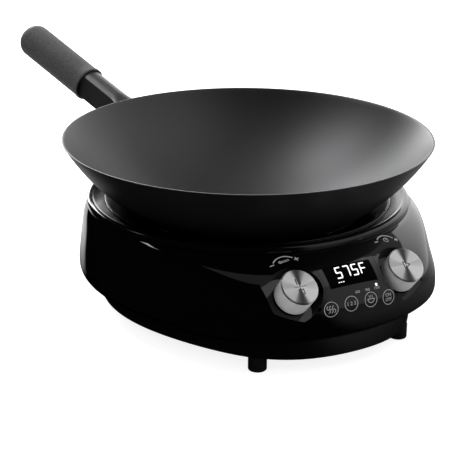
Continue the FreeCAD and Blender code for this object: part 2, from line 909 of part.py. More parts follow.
def foot_places():
    x = val("foot_x")
    return [(-x, val("foot_front_y")), (x, val("foot_front_y")),
            (-x, val("foot_rear_y")), (x, val("foot_rear_y"))]


def boss_places():
    azimuth = val("boss_azimuth") + 10
    return ring_places(val("boss_ring"), (azimuth, 180 - azimuth, 180 + azimuth, -azimuth))


def make_tray():
    wall = val("tray_wall")
    bottom = val("tray_bottom")
    floor = bottom + wall
    rim = val("parting_height") - val("parting_gap")
    tray = egg_solid(bottom, TRAY_SECTIONS)
    hollow = egg_solid(bottom, TRAY_SECTIONS, wall)
    hollow = hollow.cut(below(floor))
    tray = tray.cut(hollow)
    # Air slots through the wall on both sides and at the back.
    slot_half_width, slot_pitch, slot_inner, slot_outer = 1.4, 2.9, 120.0, 170.0
    for middle, count in ((0, 9), (180, 9), (90, 11)):
        for index in range(count):
            azimuth = middle + (index - (count - 1) / 2) * slot_pitch
            slot = box(slot_inner, slot_outer, -slot_half_width, slot_half_width,
                       bottom + 5.0, rim - 4.5)
            slot.rotate(Vector(0, 0, 0), Vector(0, 0, 1), azimuth)
            tray = tray.cut(slot)
    # Inlet grille under the fan.
    fan_y, grille_radius, grille_pitch, half_slit = val("fan_y"), 36.0, 8.0, 2.2
    for index in range(-4, 5):
        x = index * grille_pitch
        half = math.sqrt(grille_radius ** 2 - x ** 2)
        tray = tray.cut(box(x - half_slit, x + half_slit, fan_y - half, fan_y + half, 0, floor + 1))
    for x, y in foot_places():
        tray = tray.cut(cylinder(FOOT_SCREW_RADIUS + 0.2, 0, floor + 1, x, y))
    for place in boss_places():
        hole = cylinder(BOSS_SCREW_RADIUS + 0.2, 0, floor + 1)
        hole.Placement = place
        tray = tray.cut(hole)
    feature("lower_tray", tray)


def make_feet():
    radius = cell("foot_radius")
    bottom = cell("tray_bottom")
    bore = FOOT_SCREW_RADIUS + 0.2
    recess, recess_height, rounding = 3.6, 4.0, 1.6
    names = ("front_left_foot", "front_right_foot", "rear_left_foot", "rear_right_foot")
    for name, (x, y) in zip(names, foot_places()):
        corners = [
            (recess, 0),
            (radius - rounding, 0),
            (radius, rounding),
            (radius, bottom),
            (bore, bottom),
            (bore, recess_height),
            (recess, recess_height),
        ]
        turned(name, corners, {1: (rounding, 1)}, place=at(x, y, 0))
    head, head_low, shank_top = 3.4, 2.2, val("tray_bottom") + 7
    half_slot_length, half_slot_width, slot_depth = 2.6, 0.4, 0.8
    screw = cylinder(head, head_low, recess_height)
    screw = screw.fuse(cylinder(FOOT_SCREW_RADIUS, recess_height, shank_top))
    screw = screw.cut(box(-half_slot_length, half_slot_length, -half_slot_width, half_slot_width,
                          0, head_low + slot_depth))
    feature("foot_screws", copies(screw, [at(x, y, 0) for x, y in foot_places()]))


def gland_frame():
    """Cord inlet at the back, its axis level and pointing out of the wall."""
    angle = math.atan2(val("gland_x"), val("gland_y"))
    outward = Vector(math.sin(angle), math.cos(angle), 0)
    level = Vector(0, 0, 1)
    return FreeCAD.Placement(Vector(0, 0, val("gland_height")),
                             frame_rotation(level.cross(outward), level, outward))


def make_gland():
    wall = cell("gland_reach")
    bore, flange, nose = 3.8, 10.5, 6.6
    inside, flange_edge, end = wall - 12, wall + 2.2, wall + 5
    corners = [
        (bore, inside),
        (GLAND_RADIUS, inside),
        (GLAND_RADIUS, wall + 0.2),
        (flange, wall + 0.2),
        (flange, flange_edge),
        (nose, end),
        (bore, end),
    ]
    turned("cord_gland", corners, place=gland_frame())


# ---------------------------------------------------------------- power electronics and fan

# Film capacitors on the power board: x from and to, y from and to, height.
FILM_CAPACITORS = [
    (6.0, 40.0, -52.0, -36.0, 15.0),
    (6.0, 40.0, -80.0, -62.0, 15.0),
    (46.0, 68.0, -52.0, -30.0, 13.0),
]


def make_heat_sink(low):
    """Finned extrusion lying on the two power transistors."""
    fins, pitch, fin, base_height, fin_height, length = 9, 6.5, 2.0, 3.0, 13.0, 44.0
    corners = [(0, 0), (pitch * (fins - 1) + fin, 0)]
    for index in reversed(range(fins)):
        x = pitch * index
        corners += [(x + fin, fin_height), (x, fin_height)]
        if index:
            corners += [(x, base_height), (x - pitch + fin, base_height)]
    upright = FreeCAD.Rotation(Vector(1, 0, 0), 90)
    padded("heat_sink", corners, length, place=at(-68, -24, low, upright))


def make_power_board():
    level = val("power_board_height")
    middle = val("power_board_y")
    width, depth = val("power_board_width"), val("power_board_depth")
    padded("power_board", rectangle(cell("power_board_width"), cell("power_board_depth")),
           cell("board_thickness"), place=at(0, middle, level))
    top = level + val("board_thickness")
    case_height = 4.7
    make_heat_sink(top + case_height + 0.1)
    cases = [box(x, x + 16, -56, -36, top, top + case_height) for x in (-60, -38)]
    feature("power_transistors", Part.makeCompound(cases))
    films = [box(x_low, x_high, y_low, y_high, top, top + height)
             for x_low, x_high, y_low, y_high, height in FILM_CAPACITORS]
    feature("film_capacitors", Part.makeCompound(films))
    ring_radius, wire_radius = 10.0, 4.0
    choke = Part.makeTorus(ring_radius, wire_radius)
    choke.translate(Vector(56, -84, top + wire_radius))
    feature("filter_choke", choke)
    cans = [cylinder(6.0, top, top + 16, x, -92) for x in (-52, -37, -22)]
    feature("electrolytic_cans", Part.makeCompound(cans))

    floor = val("tray_bottom") + val("tray_wall")
    edge = 5.0
    spots = [at(x, middle + y, 0) for x in (edge - width / 2, width / 2 - edge)
             for y in (edge - depth / 2, depth / 2 - edge)]
    feature("board_posts", copies(cylinder(3.5, floor, level), spots))
    feature("board_screws", copies(cylinder(2.8, top, top + 1.8), spots))


def make_fan():
    low = val("fan_bottom")
    high = low + val("fan_depth")
    radius = val("fan_radius")
    y = val("fan_y")
    rim, arm_thickness, arm_half_width, plate_radius = 2.0, 3.0, 2.0, 16.0
    half = radius + rim
    offset = val("fan_hole_spacing") / 2
    corners = [(dx, dy) for dx in (-offset, offset) for dy in (-offset, offset)]
    screw_radius = 1.9
    frame = box(-half, half, -half, half, low, high).cut(cylinder(radius, low - 1, high + 1))
    for quarter in range(4):
        arm = box(0, radius + 1, -arm_half_width, arm_half_width, high - arm_thickness, high)
        arm.rotate(Vector(0, 0, 0), Vector(0, 0, 1), 45 + 90 * quarter)
        frame = frame.fuse(arm)
    frame = frame.fuse(cylinder(plate_radius, high - arm_thickness, high))
    for dx, dy in corners:
        frame = frame.cut(cylinder(screw_radius + 0.2, low - 1, high + 1, dx, dy))
    feature("fan_frame", frame, at(0, y, 0))

    shaft, clearance = 2.0, val("running_clearance")
    stator = cylinder(10.0, low + 6, high - arm_thickness)
    stator = stator.cut(cylinder(shaft + clearance, low + 5, high))
    feature("fan_motor", stator, at(0, y, 0))

    blades, blade_pitch, blade_half_chord, blade_half_thickness = 7, 42.0, 7.5, 0.9
    hub_radius, hub_wall, hub_top, tip_gap = 18.0, 2.0, high - 4, 1.2
    rotor = cylinder(hub_radius, low + 2, hub_top)
    rotor = rotor.cut(cylinder(hub_radius - hub_wall, low + 4, hub_top + 1))
    rotor = rotor.fuse(cylinder(shaft, low + 3, hub_top))
    for index in range(blades):
        blade = box(hub_radius - hub_wall / 2, radius, -blade_half_thickness, blade_half_thickness,
                    -blade_half_chord, blade_half_chord)
        blade.rotate(Vector(0, 0, 0), Vector(1, 0, 0), blade_pitch)
        blade.translate(Vector(0, 0, low + 11))
        blade.rotate(Vector(0, 0, 0), Vector(0, 0, 1), 360.0 * index / blades)
        rotor = rotor.fuse(blade)
    rotor = rotor.common(cylinder(radius - tip_gap, low + 1, hub_top))
    feature("fan_rotor", rotor, at(0, y, 0))

    floor = val("tray_bottom") + val("tray_wall")
    spots = [at(dx, y + dy, 0) for dx, dy in corners]
    feature("fan_posts", copies(cylinder(3.6, floor, low), spots))
    screw = cylinder(3.4, high, high + 2).fuse(cylinder(screw_radius, low + 1, high))
    feature("fan_screws", copies(screw, spots))


def make_housing_screws():
    """Four pillars clamp the lip ring, the housing and the tray together with long screws."""
    bottom = val("tray_bottom")
    floor = bottom + val("tray_wall")
    under_shelf = val("glass_edge_height") - val("shelf_drop") - val("shelf_thickness")
    thread_top = floor + 30
    pillar = cylinder(4.5, floor, under_shelf - 0.05)
    pillar = pillar.cut(cylinder(BOSS_SCREW_RADIUS + val("running_clearance"), 0, thread_top + 1))
    feature("housing_pillars", copies(pillar, boss_places()))
    head_radius, head_height = 3.2, 1.8
    screw = cylinder(head_radius, bottom - head_height, bottom)
    screw = screw.fuse(cylinder(BOSS_SCREW_RADIUS, bottom, thread_top))
    feature("housing_screws", copies(screw, boss_places()))


make_wok()
make_handle()
make_bowl()
make_lip()
make_coil()
make_housing()
make_tray()
make_feet()
make_gland()
for knob_name, knob_side in (("left", -1), ("right", 1)):
    make_knob(knob_name, knob_side * val("knob_offset"))
make_control_board()
make_power_board()
make_fan()
make_housing_screws()

doc.recompute()

# ---------------------------------------------------------------- checks and export

for item in doc.Objects:
    if "Invalid" in item.State or "Error" in item.State:
        raise RuntimeError("%s: %s" % (item.Label, item.State))

os.makedirs("parts", exist_ok=True)
for label, item in parts.items():
    shape = item.Shape
    if shape.isNull() or not shape.isValid() or not shape.Solids:
        raise RuntimeError("%s has no valid solid" % label)
    print("%-20s %9.0f mm3  %d solid(s)" % (label, shape.Volume, len(shape.Solids)))
    shape.exportStep("parts/%s.step" % label)
print("%d parts" % len(parts))
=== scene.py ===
import bpy
import json
import math
from mathutils import Matrix, Vector


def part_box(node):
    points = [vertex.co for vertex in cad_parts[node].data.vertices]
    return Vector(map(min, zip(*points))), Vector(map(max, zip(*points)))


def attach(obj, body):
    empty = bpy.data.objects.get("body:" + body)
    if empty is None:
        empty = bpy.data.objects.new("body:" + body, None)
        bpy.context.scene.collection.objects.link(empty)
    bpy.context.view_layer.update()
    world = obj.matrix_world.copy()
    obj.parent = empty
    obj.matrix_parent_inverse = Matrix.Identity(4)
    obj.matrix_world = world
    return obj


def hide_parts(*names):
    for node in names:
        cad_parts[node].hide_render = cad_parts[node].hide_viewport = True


# Electric wok: finish and detail of every visible piece, in metres, +Z up, controls at -Y.

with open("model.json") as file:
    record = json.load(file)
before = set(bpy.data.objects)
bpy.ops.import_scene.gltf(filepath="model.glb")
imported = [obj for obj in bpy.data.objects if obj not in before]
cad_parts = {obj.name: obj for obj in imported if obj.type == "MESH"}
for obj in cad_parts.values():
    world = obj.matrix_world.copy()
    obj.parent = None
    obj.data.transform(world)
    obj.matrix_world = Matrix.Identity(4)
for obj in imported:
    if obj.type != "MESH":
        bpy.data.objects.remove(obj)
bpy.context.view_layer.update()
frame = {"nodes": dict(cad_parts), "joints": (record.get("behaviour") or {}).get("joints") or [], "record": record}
nodes = frame["nodes"]
mm = 0.001
mergeReach = 1e-7  # vertices closer than this become one
pickReach = 1e-6  # how near a vertex is to the corner it is picked for
fineSteps = 288  # sides of the large round pieces
print("frame loaded,", len(nodes), "nodes")


def deselectAll():
    if bpy.context.object and bpy.context.object.mode != "OBJECT":
        objectMode()
    bpy.ops.object.select_all(action="DESELECT")


def activate(piece):
    deselectAll()
    piece.select_set(True)
    bpy.context.view_layer.objects.active = piece


def nameIt(piece, name):
    piece.name = name
    piece.data.name = name
    return piece


def newPiece(name):
    return nameIt(bpy.context.object, name)


# moves a piece's place into its mesh
def applyPlace(piece, place=None):
    if place is not None:
        piece.matrix_world = place
    activate(piece)
    bpy.ops.object.transform_apply(location=True, rotation=True, scale=True)


def applyModifier(piece, kind, **settings):
    activate(piece)
    modifier = piece.modifiers.new(kind.title(), kind)
    for key, value in settings.items():
        setattr(modifier, key, value)
    bpy.ops.object.modifier_apply(modifier=modifier.name)


def smoothByAngle(piece, degrees):
    activate(piece)
    bpy.ops.object.shade_smooth_by_angle(angle=math.radians(degrees))


def editMode():
    bpy.ops.object.mode_set(mode="EDIT")


def objectMode():
    bpy.ops.object.mode_set(mode="OBJECT")


def selectAll(action="SELECT"):
    bpy.ops.mesh.select_all(action=action)


def selectVertices(piece, chosen):
    selectAll("DESELECT")
    objectMode()
    for vertex in piece.data.vertices:
        vertex.select = chosen(vertex.co)
    editMode()


def tidyMesh(reach=mergeReach):
    selectAll()
    bpy.ops.mesh.remove_doubles(threshold=reach)
    bpy.ops.mesh.normals_make_consistent(inside=False)
    objectMode()


# +X to the right, +Y up the slope and +Z out of the surface
def slopeFrame(out, place):
    right = Vector((1, 0, 0))
    slope = Vector(out).cross(right)
    matrix = Matrix((right, slope, Vector(out))).transposed().to_4x4()
    matrix.translation = place
    return matrix


knobJoint = [joint for joint in frame["joints"] if joint["name"] == "right_knob_turn"][0]


# frame of the knobs' faces; x moves it sideways
def panelFrame(x=0.0):
    return slopeFrame(knobJoint["axis"], (x, knobJoint["pos_m"][1], knobJoint["pos_m"][2]))


def smallPlane(name):
    deselectAll()
    bpy.ops.mesh.primitive_plane_add(size=mm, location=(0, 0, 0))
    return newPiece(name)


# one vertex at a place, with edit mode open
def startPoint(name, place):
    piece = smallPlane(name)
    editMode()
    bpy.ops.mesh.merge(type="CENTER")
    bpy.ops.transform.translate(value=place)
    return piece


# draws the vertex out into a line through the points, closed when it ends where it began
def drawThrough(points):
    for last, point in zip(points, points[1:]):
        step = tuple(after - before for before, after in zip(last, point))
        bpy.ops.mesh.extrude_vertices_move(TRANSFORM_OT_translate={"value": step})
    selectAll()
    bpy.ops.mesh.remove_doubles(threshold=mergeReach)


# outline of (radius, height) corners, some rounded, spun about the upright axis; it starts
# and ends on the axis, or is closed
def turnedPiece(name, outline, rounds=(), steps=96, place=None):
    points = [(radius, 0, height) for radius, height in outline]
    piece = startPoint(name, points[0])
    drawThrough(points + points[:1] if outline[0][0] else points)
    for corner, reach in rounds:
        spot = Vector((corner[0], 0, corner[1]))
        selectVertices(piece, lambda co: (co - spot).length < pickReach)
        bpy.ops.mesh.bevel(offset=reach, offset_pct=0, segments=5, affect="VERTICES",
                           clamp_overlap=False)
    selectAll()
    bpy.ops.mesh.spin(steps=steps, angle=math.tau, center=(0, 0, 0), axis=(0, 0, 1))
    tidyMesh()
    if place is not None:
        applyPlace(piece, place)
    return piece


# smooths a piece, gives it its material and hands it to a body
def finishPiece(piece, body, slotName, replaced=(), angle=30, material=None):
    smoothByAngle(piece, angle)
    piece.data.materials.clear()
    piece.data.materials.append(material or materials[slotName])
    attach(piece, body)
    if replaced:
        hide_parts(*replaced)


# a node tree, with short ways to add and link nodes
class Nodes:
    def __init__(self, owner):
        owner.use_nodes = True
        self.tree = owner.node_tree

    def add(self, kind, **settings):
        node = self.tree.nodes.new(kind)
        for key, value in settings.items():
            setattr(node, key, value)
        return node

    def objectSpace(self):
        return self.add("ShaderNodeTexCoord").outputs["Object"]

    def link(self, source, target):
        self.tree.links.new(source, target)

    def feed(self, target, source):
        if hasattr(source, "is_linked"):
            self.link(source, target)
        else:
            target.default_value = source

    def maths(self, operation, *inputs):
        node = self.add("ShaderNodeMath", operation=operation)
        for socket, value in zip(node.inputs, inputs):
            self.feed(socket, value)
        return node.outputs[0]

    def vector(self, operation, *inputs):
        node = self.add("ShaderNodeVectorMath", operation=operation)
        for socket, value in zip(node.inputs, inputs):
            self.feed(socket, value)
        return node.outputs["Value" if operation in ("LENGTH", "DOT_PRODUCT") else "Vector"]

    def spread(self, value, low, high, fromLow=0.25, fromHigh=0.75):
        node = self.add("ShaderNodeMapRange")
        self.link(value, node.inputs["Value"])
        for name, number in (("From Min", fromLow), ("From Max", fromHigh),
                             ("To Min", low), ("To Max", high)):
            node.inputs[name].default_value = number
        return node.outputs["Result"]

    def blend(self, amount, first, second):
        node = self.add("ShaderNodeMix", data_type="RGBA")
        colours = [socket for socket in node.inputs if socket.type == "RGBA"]
        self.feed(node.inputs["Factor"], amount)
        for socket, value in zip(colours, (first, second)):
            self.feed(socket, (*value, 1.0) if isinstance(value, tuple) else value)
        return [socket for socket in node.outputs if socket.type == "RGBA"][0]

    # value of a curve at the direction of (across, up), from stops of (degrees, value up to 1)
    def turnCurve(self, across, up, stops, handle="VECTOR"):
        turn = self.maths("ARCTAN2", up, across)
        node = self.add("ShaderNodeFloatCurve")
        self.link(self.maths("FRACT", self.maths("DIVIDE", turn, math.tau)), node.inputs["Value"])
        curve = node.mapping.curves[0]
        while len(curve.points) < len(stops):
            curve.points.new(0.5, 0.5)
        for point, (degrees, value) in zip(curve.points, stops):
            point.location = (degrees / 360, value)
            point.handle_type = handle
        node.mapping.update()
        return node.outputs[0]


# a surface material: one shader, fed with numbers or patterns
class Finish(Nodes):
    def __init__(self, name):
        self.material = bpy.data.materials.new(name)
        super().__init__(self.material)
        self.shader = self.tree.nodes["Principled BSDF"]
        self.space = self.objectSpace()

    def noise(self, scale, detail=3.0, rough=0.5, space=None):
        node = self.add("ShaderNodeTexNoise")
        self.link(space or self.space, node.inputs["Vector"])
        for name, number in (("Scale", scale), ("Detail", detail), ("Roughness", rough)):
            node.inputs[name].default_value = number
        return node.outputs["Fac"]

    def bump(self, height, distance):
        node = self.add("ShaderNodeBump")
        self.link(height, node.inputs["Height"])
        node.inputs["Distance"].default_value = distance
        self.link(node.outputs["Normal"], self.shader.inputs["Normal"])

    def put(self, name, value):
        self.feed(self.shader.inputs[name], value)

    def paint(self, look, tone):
        self.put("Base Color", self.blend(tone, look["dark"], look["light"]))

    def gloss(self, look, grain):
        self.put("Roughness", self.spread(grain, *look["gloss"]))


# plain moulded, cast or painted surface: uneven tone, uneven gloss and a fine grain
def mouldedFinish(name, look):
    tree = Finish(name)
    tone = tree.noise(look.get("patch", 30.0), 4.0)
    tree.paint(look, tone)
    grain = tree.noise(look["grain"], 2.0, 0.6)
    tree.gloss(look, grain)
    tree.put("Metallic", look.get("metal", 0.0))
    tree.put("Specular IOR Level", look.get("specular", 0.5))
    tree.put("Coat Weight", look.get("coat", 0.0))
    tree.bump(grain, look["relief"])
    return tree.material


finishes = {
    "gloss_black": dict(dark=(0.001, 0.001, 0.0011), light=(0.0016, 0.0016, 0.0018),
                        grain=900.0, gloss=(0.035, 0.055), relief=1.2e-6),
    "lip_plastic": dict(dark=(0.0012, 0.0012, 0.0013), light=(0.0022, 0.0022, 0.0024),
                        grain=900.0, gloss=(0.1, 0.14), relief=2e-6),
    "black_glass": dict(dark=(0.001, 0.001, 0.0012), light=(0.0018, 0.0018, 0.0022),
                        grain=300.0, gloss=(0.03, 0.05), relief=1e-6, coat=0.2),
    "display_lens": dict(dark=(0.0001, 0.0001, 0.0001), light=(0.0003, 0.0003, 0.0003),
                         grain=500.0, gloss=(0.1, 0.14), relief=1e-6, specular=0.02),
    "tray_black": dict(dark=(0.002, 0.002, 0.0021), light=(0.0034, 0.0034, 0.0036),
                       grain=2600.0, gloss=(0.24, 0.34), relief=1e-5),
    "foot_rubber": dict(dark=(0.005, 0.005, 0.0052), light=(0.009, 0.009, 0.0094),
                        grain=1500.0, gloss=(0.62, 0.78), relief=3e-5, specular=0.3),
    "seal_rubber": dict(dark=(0.01, 0.01, 0.01), light=(0.018, 0.018, 0.018),
                        grain=1200.0, gloss=(0.6, 0.75), relief=2e-5, specular=0.3),
    "trim_ring": dict(dark=(0.05, 0.05, 0.052), light=(0.075, 0.075, 0.077), metal=1.0,
                      grain=1800.0, gloss=(0.2, 0.28), relief=1e-6),
    "plated_steel": dict(dark=(0.46, 0.46, 0.47), light=(0.62, 0.62, 0.63), metal=1.0,
                         grain=1400.0, gloss=(0.22, 0.34), relief=6e-6),
    "dark_nylon": dict(dark=(0.014, 0.014, 0.015), light=(0.026, 0.026, 0.028),
                       grain=1300.0, gloss=(0.42, 0.58), relief=1e-5),
    "white_nylon": dict(dark=(0.62, 0.61, 0.57), light=(0.74, 0.73, 0.69),
                        grain=1100.0, gloss=(0.38, 0.5), relief=1e-5),
    "ferrite": dict(dark=(0.022, 0.022, 0.024), light=(0.045, 0.045, 0.048),
                    grain=2400.0, gloss=(0.5, 0.7), relief=2e-5),
    "mica": dict(dark=(0.46, 0.4, 0.29), light=(0.66, 0.6, 0.47), patch=160.0,
                 grain=900.0, gloss=(0.25, 0.5), relief=2e-5),
    "lamp_lens": dict(dark=(0.55, 0.56, 0.56), light=(0.7, 0.71, 0.71),
                      grain=700.0, gloss=(0.12, 0.2), relief=2e-6),
    "raw_aluminium": dict(dark=(0.48, 0.48, 0.49), light=(0.62, 0.62, 0.63), metal=1.0,
                          grain=1600.0, gloss=(0.32, 0.48), relief=1e-5),
    "capacitor_red": dict(dark=(0.3, 0.022, 0.012), light=(0.42, 0.04, 0.022),
                          grain=800.0, gloss=(0.18, 0.28), relief=6e-6),
}


# seasoned steel spun on a lathe: faint rings round the axis, clouded by the first heating
def wokFinish():
    look = dict(dark=(0.060, 0.060, 0.062), light=(0.088, 0.088, 0.090), gloss=(0.40, 0.50),
                ringPitch=620.0, ringRelief=3.5e-6, cloud=14.0, speck=420.0)
    tree = Finish("wokSteel")
    flat = tree.vector("MULTIPLY", tree.space, (1.0, 1.0, 0.0))
    radius = tree.vector("LENGTH", flat)
    rings = tree.add("ShaderNodeCombineXYZ")
    tree.link(radius, rings.inputs[0])
    fine = tree.noise(look["ringPitch"], 2.0, 0.6, rings.outputs[0])
    cloud = tree.noise(look["cloud"], 5.0, 0.55)
    speck = tree.noise(look["speck"], 3.0, 0.6)
    tone = tree.maths("ADD", tree.maths("MULTIPLY", cloud, 0.6),
                      tree.maths("MULTIPLY", speck, 0.4))
    tree.paint(look, tone)
    tree.put("Metallic", 0.9)
    tree.gloss(look, tone)
    tree.bump(fine, look["ringRelief"])
    return tree.material


# satin black steel of the neck, brushed along its length
def neckFinish():
    look = dict(dark=(0.060, 0.060, 0.062), light=(0.095, 0.095, 0.098), gloss=(0.34, 0.44),
                brush=(900.0, 90.0, 300.0), relief=4e-6)
    tree = Finish("neckSteel")
    lines = tree.noise(1.0, 3.0, 0.6, tree.vector("MULTIPLY", tree.space, look["brush"]))
    tree.paint(look, lines)
    tree.put("Metallic", 0.7)
    tree.gloss(look, lines)
    tree.bump(lines, look["relief"])
    return tree.material


# dark rubber with a leathery grain of small creases and worn high spots; the colour is darkened in the creases as
# painted shade
def gripFinish():
    look = dict(dark=(0.045, 0.045, 0.0455), light=(0.105, 0.105, 0.106), gloss=(0.58, 0.72),
                cell=520.0, warp=180.0, shift=0.004, wear=38.0, relief=9e-5)
    tree = Finish("gripRubber")
    cells = tree.add("ShaderNodeTexVoronoi", feature="DISTANCE_TO_EDGE")
    warp = tree.noise(look["warp"], 3.0, 0.6)
    moved = tree.vector("MULTIPLY_ADD", warp, (look["shift"],) * 3, tree.space)
    tree.link(moved, cells.inputs["Vector"])
    cells.inputs["Scale"].default_value = look["cell"]
    creaseWithPaintedShade = tree.spread(cells.outputs["Distance"], 0.0, 1.0, 0.0, 0.22)
    worn = tree.noise(look["wear"], 4.0, 0.6)
    # painted shade: the colour is darker in the creases between the grain's cells
    tone = tree.maths("MULTIPLY", creaseWithPaintedShade, tree.spread(worn, 0.55, 1.0))
    tree.paint(look, tone)
    tree.gloss(look, worn)
    tree.put("Specular IOR Level", 0.45)
    tree.bump(creaseWithPaintedShade, look["relief"])
    return tree.material


# bare steel faced on a lathe: fine rings about the knob's axis stretch every highlight; bright and dark lobes by
# angle round the axis are painted into the face's colour as painted highlight and painted shade
def spunFinishWithPaintedSheen(name, centre, axis):
    look = dict(dark=(0.84, 0.84, 0.85), light=(0.98, 0.98, 0.99), gloss=(0.42, 0.48),
                stretch=0.9, ringPitch=2600.0, ringRelief=1.5e-6,
                sideMetal=0.3, faceEdge=(-0.0016, -0.0008),
                # stops of the painted highlight and shade round the face, in (degrees, brightness)
                paintedSheenStops=((0, 0.82), (4, 0.78), (18, 1), (30, 1), (42, 1), (54, 0.7), (67, 0.31),
                       (81, 0.09), (96, 0.42), (114, 1), (133, 1), (151, 0.79), (169, 0.73),
                       (184, 1), (198, 1), (210, 1), (222, 1), (234, 0.59), (247, 0.18),
                       (261, 0.09), (276, 0.45), (294, 1), (313, 1), (331, 1), (349, 0.86),
                       (360, 0.82)))
    tree = Finish(name)
    away = tree.vector("SUBTRACT", tree.space, tuple(centre))
    along = tree.vector("DOT_PRODUCT", away, tuple(axis))
    outward = tree.vector("SUBTRACT", away, tree.vector("MULTIPLY", tuple(axis), along))
    radius = tree.vector("LENGTH", outward)
    rings = tree.add("ShaderNodeCombineXYZ")
    tree.link(radius, rings.inputs[0])
    tree.link(along, rings.inputs[1])
    fine = tree.noise(look["ringPitch"], 2.0, 0.7, rings.outputs[0])
    slope = Vector(axis).cross((1, 0, 0))
    across = tree.vector("DOT_PRODUCT", outward, (1, 0, 0))
    up = tree.vector("DOT_PRODUCT", outward, tuple(slope))
    face = tree.spread(along, 0.0, 1.0, *look["faceEdge"])
    # painted highlight and shade: the lobes darken the face's colour by angle round the axis
    paintedSheen = tree.turnCurve(across, up, look["paintedSheenStops"], "AUTO")
    steel = tree.blend(fine, look["dark"], look["light"])
    shade = tree.maths("MULTIPLY_ADD", face, tree.maths("SUBTRACT", paintedSheen, 1.0), 1.0)
    tree.put("Base Color", tree.blend(shade, (0.0, 0.0, 0.0), steel))
    tree.put("Metallic", tree.spread(face, look["sideMetal"], 1.0, 0.0, 1.0))
    tree.gloss(look, fine)
    tree.put("Anisotropic", look["stretch"])
    tree.link(tree.vector("NORMALIZE", outward), tree.shader.inputs["Tangent"])
    tree.bump(fine, look["ringRelief"])
    return tree.material


# flat spiral of enamelled copper bundles: one ridge per turn, twisted strands on each; the colour is darker in the
# grooves between turns and lighter on the ridges, painted shade and painted highlight
def litzFinish():
    look = dict(dark=(0.16, 0.055, 0.022), light=(0.62, 0.27, 0.13), gloss=(0.28, 0.42),
                turn=0.0031, relief=6e-4)
    tree = Finish("copperLitz")
    radius = tree.vector("LENGTH", tree.vector("MULTIPLY", tree.space, (1.0, 1.0, 0.0)))
    wave = tree.maths("SINE", tree.maths("MULTIPLY", radius, math.tau / look["turn"]))
    strands = tree.noise(900.0, 3.0, 0.6)
    height = tree.maths("ADD", tree.spread(wave, 0.0, 0.8, -1.0, 1.0),
                        tree.maths("MULTIPLY", strands, 0.2))
    # painted shade in the grooves and painted highlight on the ridges: the colour follows the ridge height
    tree.paint(look, height)
    tree.put("Metallic", 0.8)
    tree.gloss(look, strands)
    tree.bump(height, look["relief"])
    return tree.material


# circuit board: green mask over square tracks
def boardFinish():
    look = dict(gloss=(0.25, 0.4), grain=400.0, relief=4e-5,
                tracks={"Scale": 110.0, "Mortar Size": 0.03, "Color1": (0.010, 0.085, 0.035, 1),
                        "Color2": (0.014, 0.110, 0.045, 1), "Mortar": (0.060, 0.230, 0.090, 1)})
    tree = Finish("boardGreen")
    tracks = tree.add("ShaderNodeTexBrick")
    tree.link(tree.space, tracks.inputs["Vector"])
    for name, value in look["tracks"].items():
        tracks.inputs[name].default_value = value
    tree.put("Base Color", tracks.outputs["Color"])
    tree.gloss(look, tree.noise(look["grain"], 2.0))
    tree.bump(tracks.outputs["Fac"], look["relief"])
    return tree.material


# screen-printed ink or a lit segment, a little uneven in cover
def printFinish(name, colour, glow=0.0):
    tree = Finish(name)
    cover = tree.noise(1400.0, 2.0)
    thin = tuple(channel * 0.86 for channel in colour)
    tree.put("Base Color", tree.blend(cover, thin, colour))
    tree.put("Roughness", tree.spread(cover, 0.42, 0.55))
    if glow:
        tree.put("Emission Color", (*colour, 1.0))
        tree.put("Emission Strength", glow)
    return tree.material


materials = {slot: mouldedFinish(slot, look) for slot, look in finishes.items()}
materials.update(wok_steel=wokFinish(), neck_steel=neckFinish(), grip_rubber=gripFinish(),
                 copper_litz=litzFinish(), board_green=boardFinish())
greyInk = printFinish("greyInk", (0.58, 0.58, 0.59))
whiteInk = printFinish("whiteInk", (0.80, 0.80, 0.81))
litWhite = printFinish("litWhite", (1, 1, 1), 1.1)
darkEngraving = printFinish("darkEngraving", (0.060, 0.060, 0.062))
glassPrint = printFinish("glassPrint", (0.10, 0.10, 0.105))

materials["spun_steel"] = materials["plated_steel"]
for entry in frame["record"]["subparts"]:
    node = nodes[entry["node"]]
    node.data.materials.clear()
    node.data.materials.append(materials[entry["material_slot"]])
print("finishes made,", len(materials))


# points of the lower half of a sphere about the wok's middle, between two radii
def capArc(sphere, fromRadius, toRadius, count):
    low, high = math.asin(fromRadius / sphere), math.asin(toRadius / sphere)
    turns = [low + (high - low) * index / count for index in range(count + 1)]
    return [(sphere * math.sin(turn), wok["middle"] - sphere * math.cos(turn)) for turn in turns]


wok = dict(rim=177.8 * mm, wall=1.8 * mm, rimRound=0.75 * mm, rows=44)
wokLow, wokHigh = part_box("wok_bowl")
wok["depth"] = wokHigh.z - wokLow.z
wok["sphere"] = (wok["rim"] ** 2 + wok["depth"] ** 2) / (2 * wok["depth"])
wok["middle"] = wokLow.z + wok["sphere"]


def makeWok():
    inner = wok["sphere"] - wok["wall"]
    drop = wok["middle"] - wokHigh.z
    rimInner = math.sqrt(inner ** 2 - drop ** 2)
    outside = capArc(wok["sphere"], 0, wok["rim"], wok["rows"])
    inside = capArc(inner, 0, rimInner, wok["rows"])
    outline = outside + inside[::-1]
    rounds = [(outside[-1], wok["rimRound"]), (inside[-1], wok["rimRound"])]
    piece = turnedPiece("wokBowl", outline, rounds, fineSteps)
    finishPiece(piece, "wok", "wok_steel", ["wok_bowl"], 50)


handle = dict(azimuth=106.0, lift=19.5, height=151 * mm, gripStart=60.5 * mm, gripEnd=168 * mm,
              gripRadius=17.6 * mm, mouth=16.2 * mm, dome=13 * mm,
              ball=(14.2 * mm, 3.636 * mm, 14.0 * mm), ballFrom=4.04, ballSweep=76.37,
              bore=6.05 * mm, socket=66.2 * mm, screwHole=4.6 * mm, screwDepth=3 * mm,
              lip=0.5 * mm, lipWidth=3 * mm, swell=0.2 * mm, coneDepth=9 * mm,
              domeRows=12, shaftRows=8)


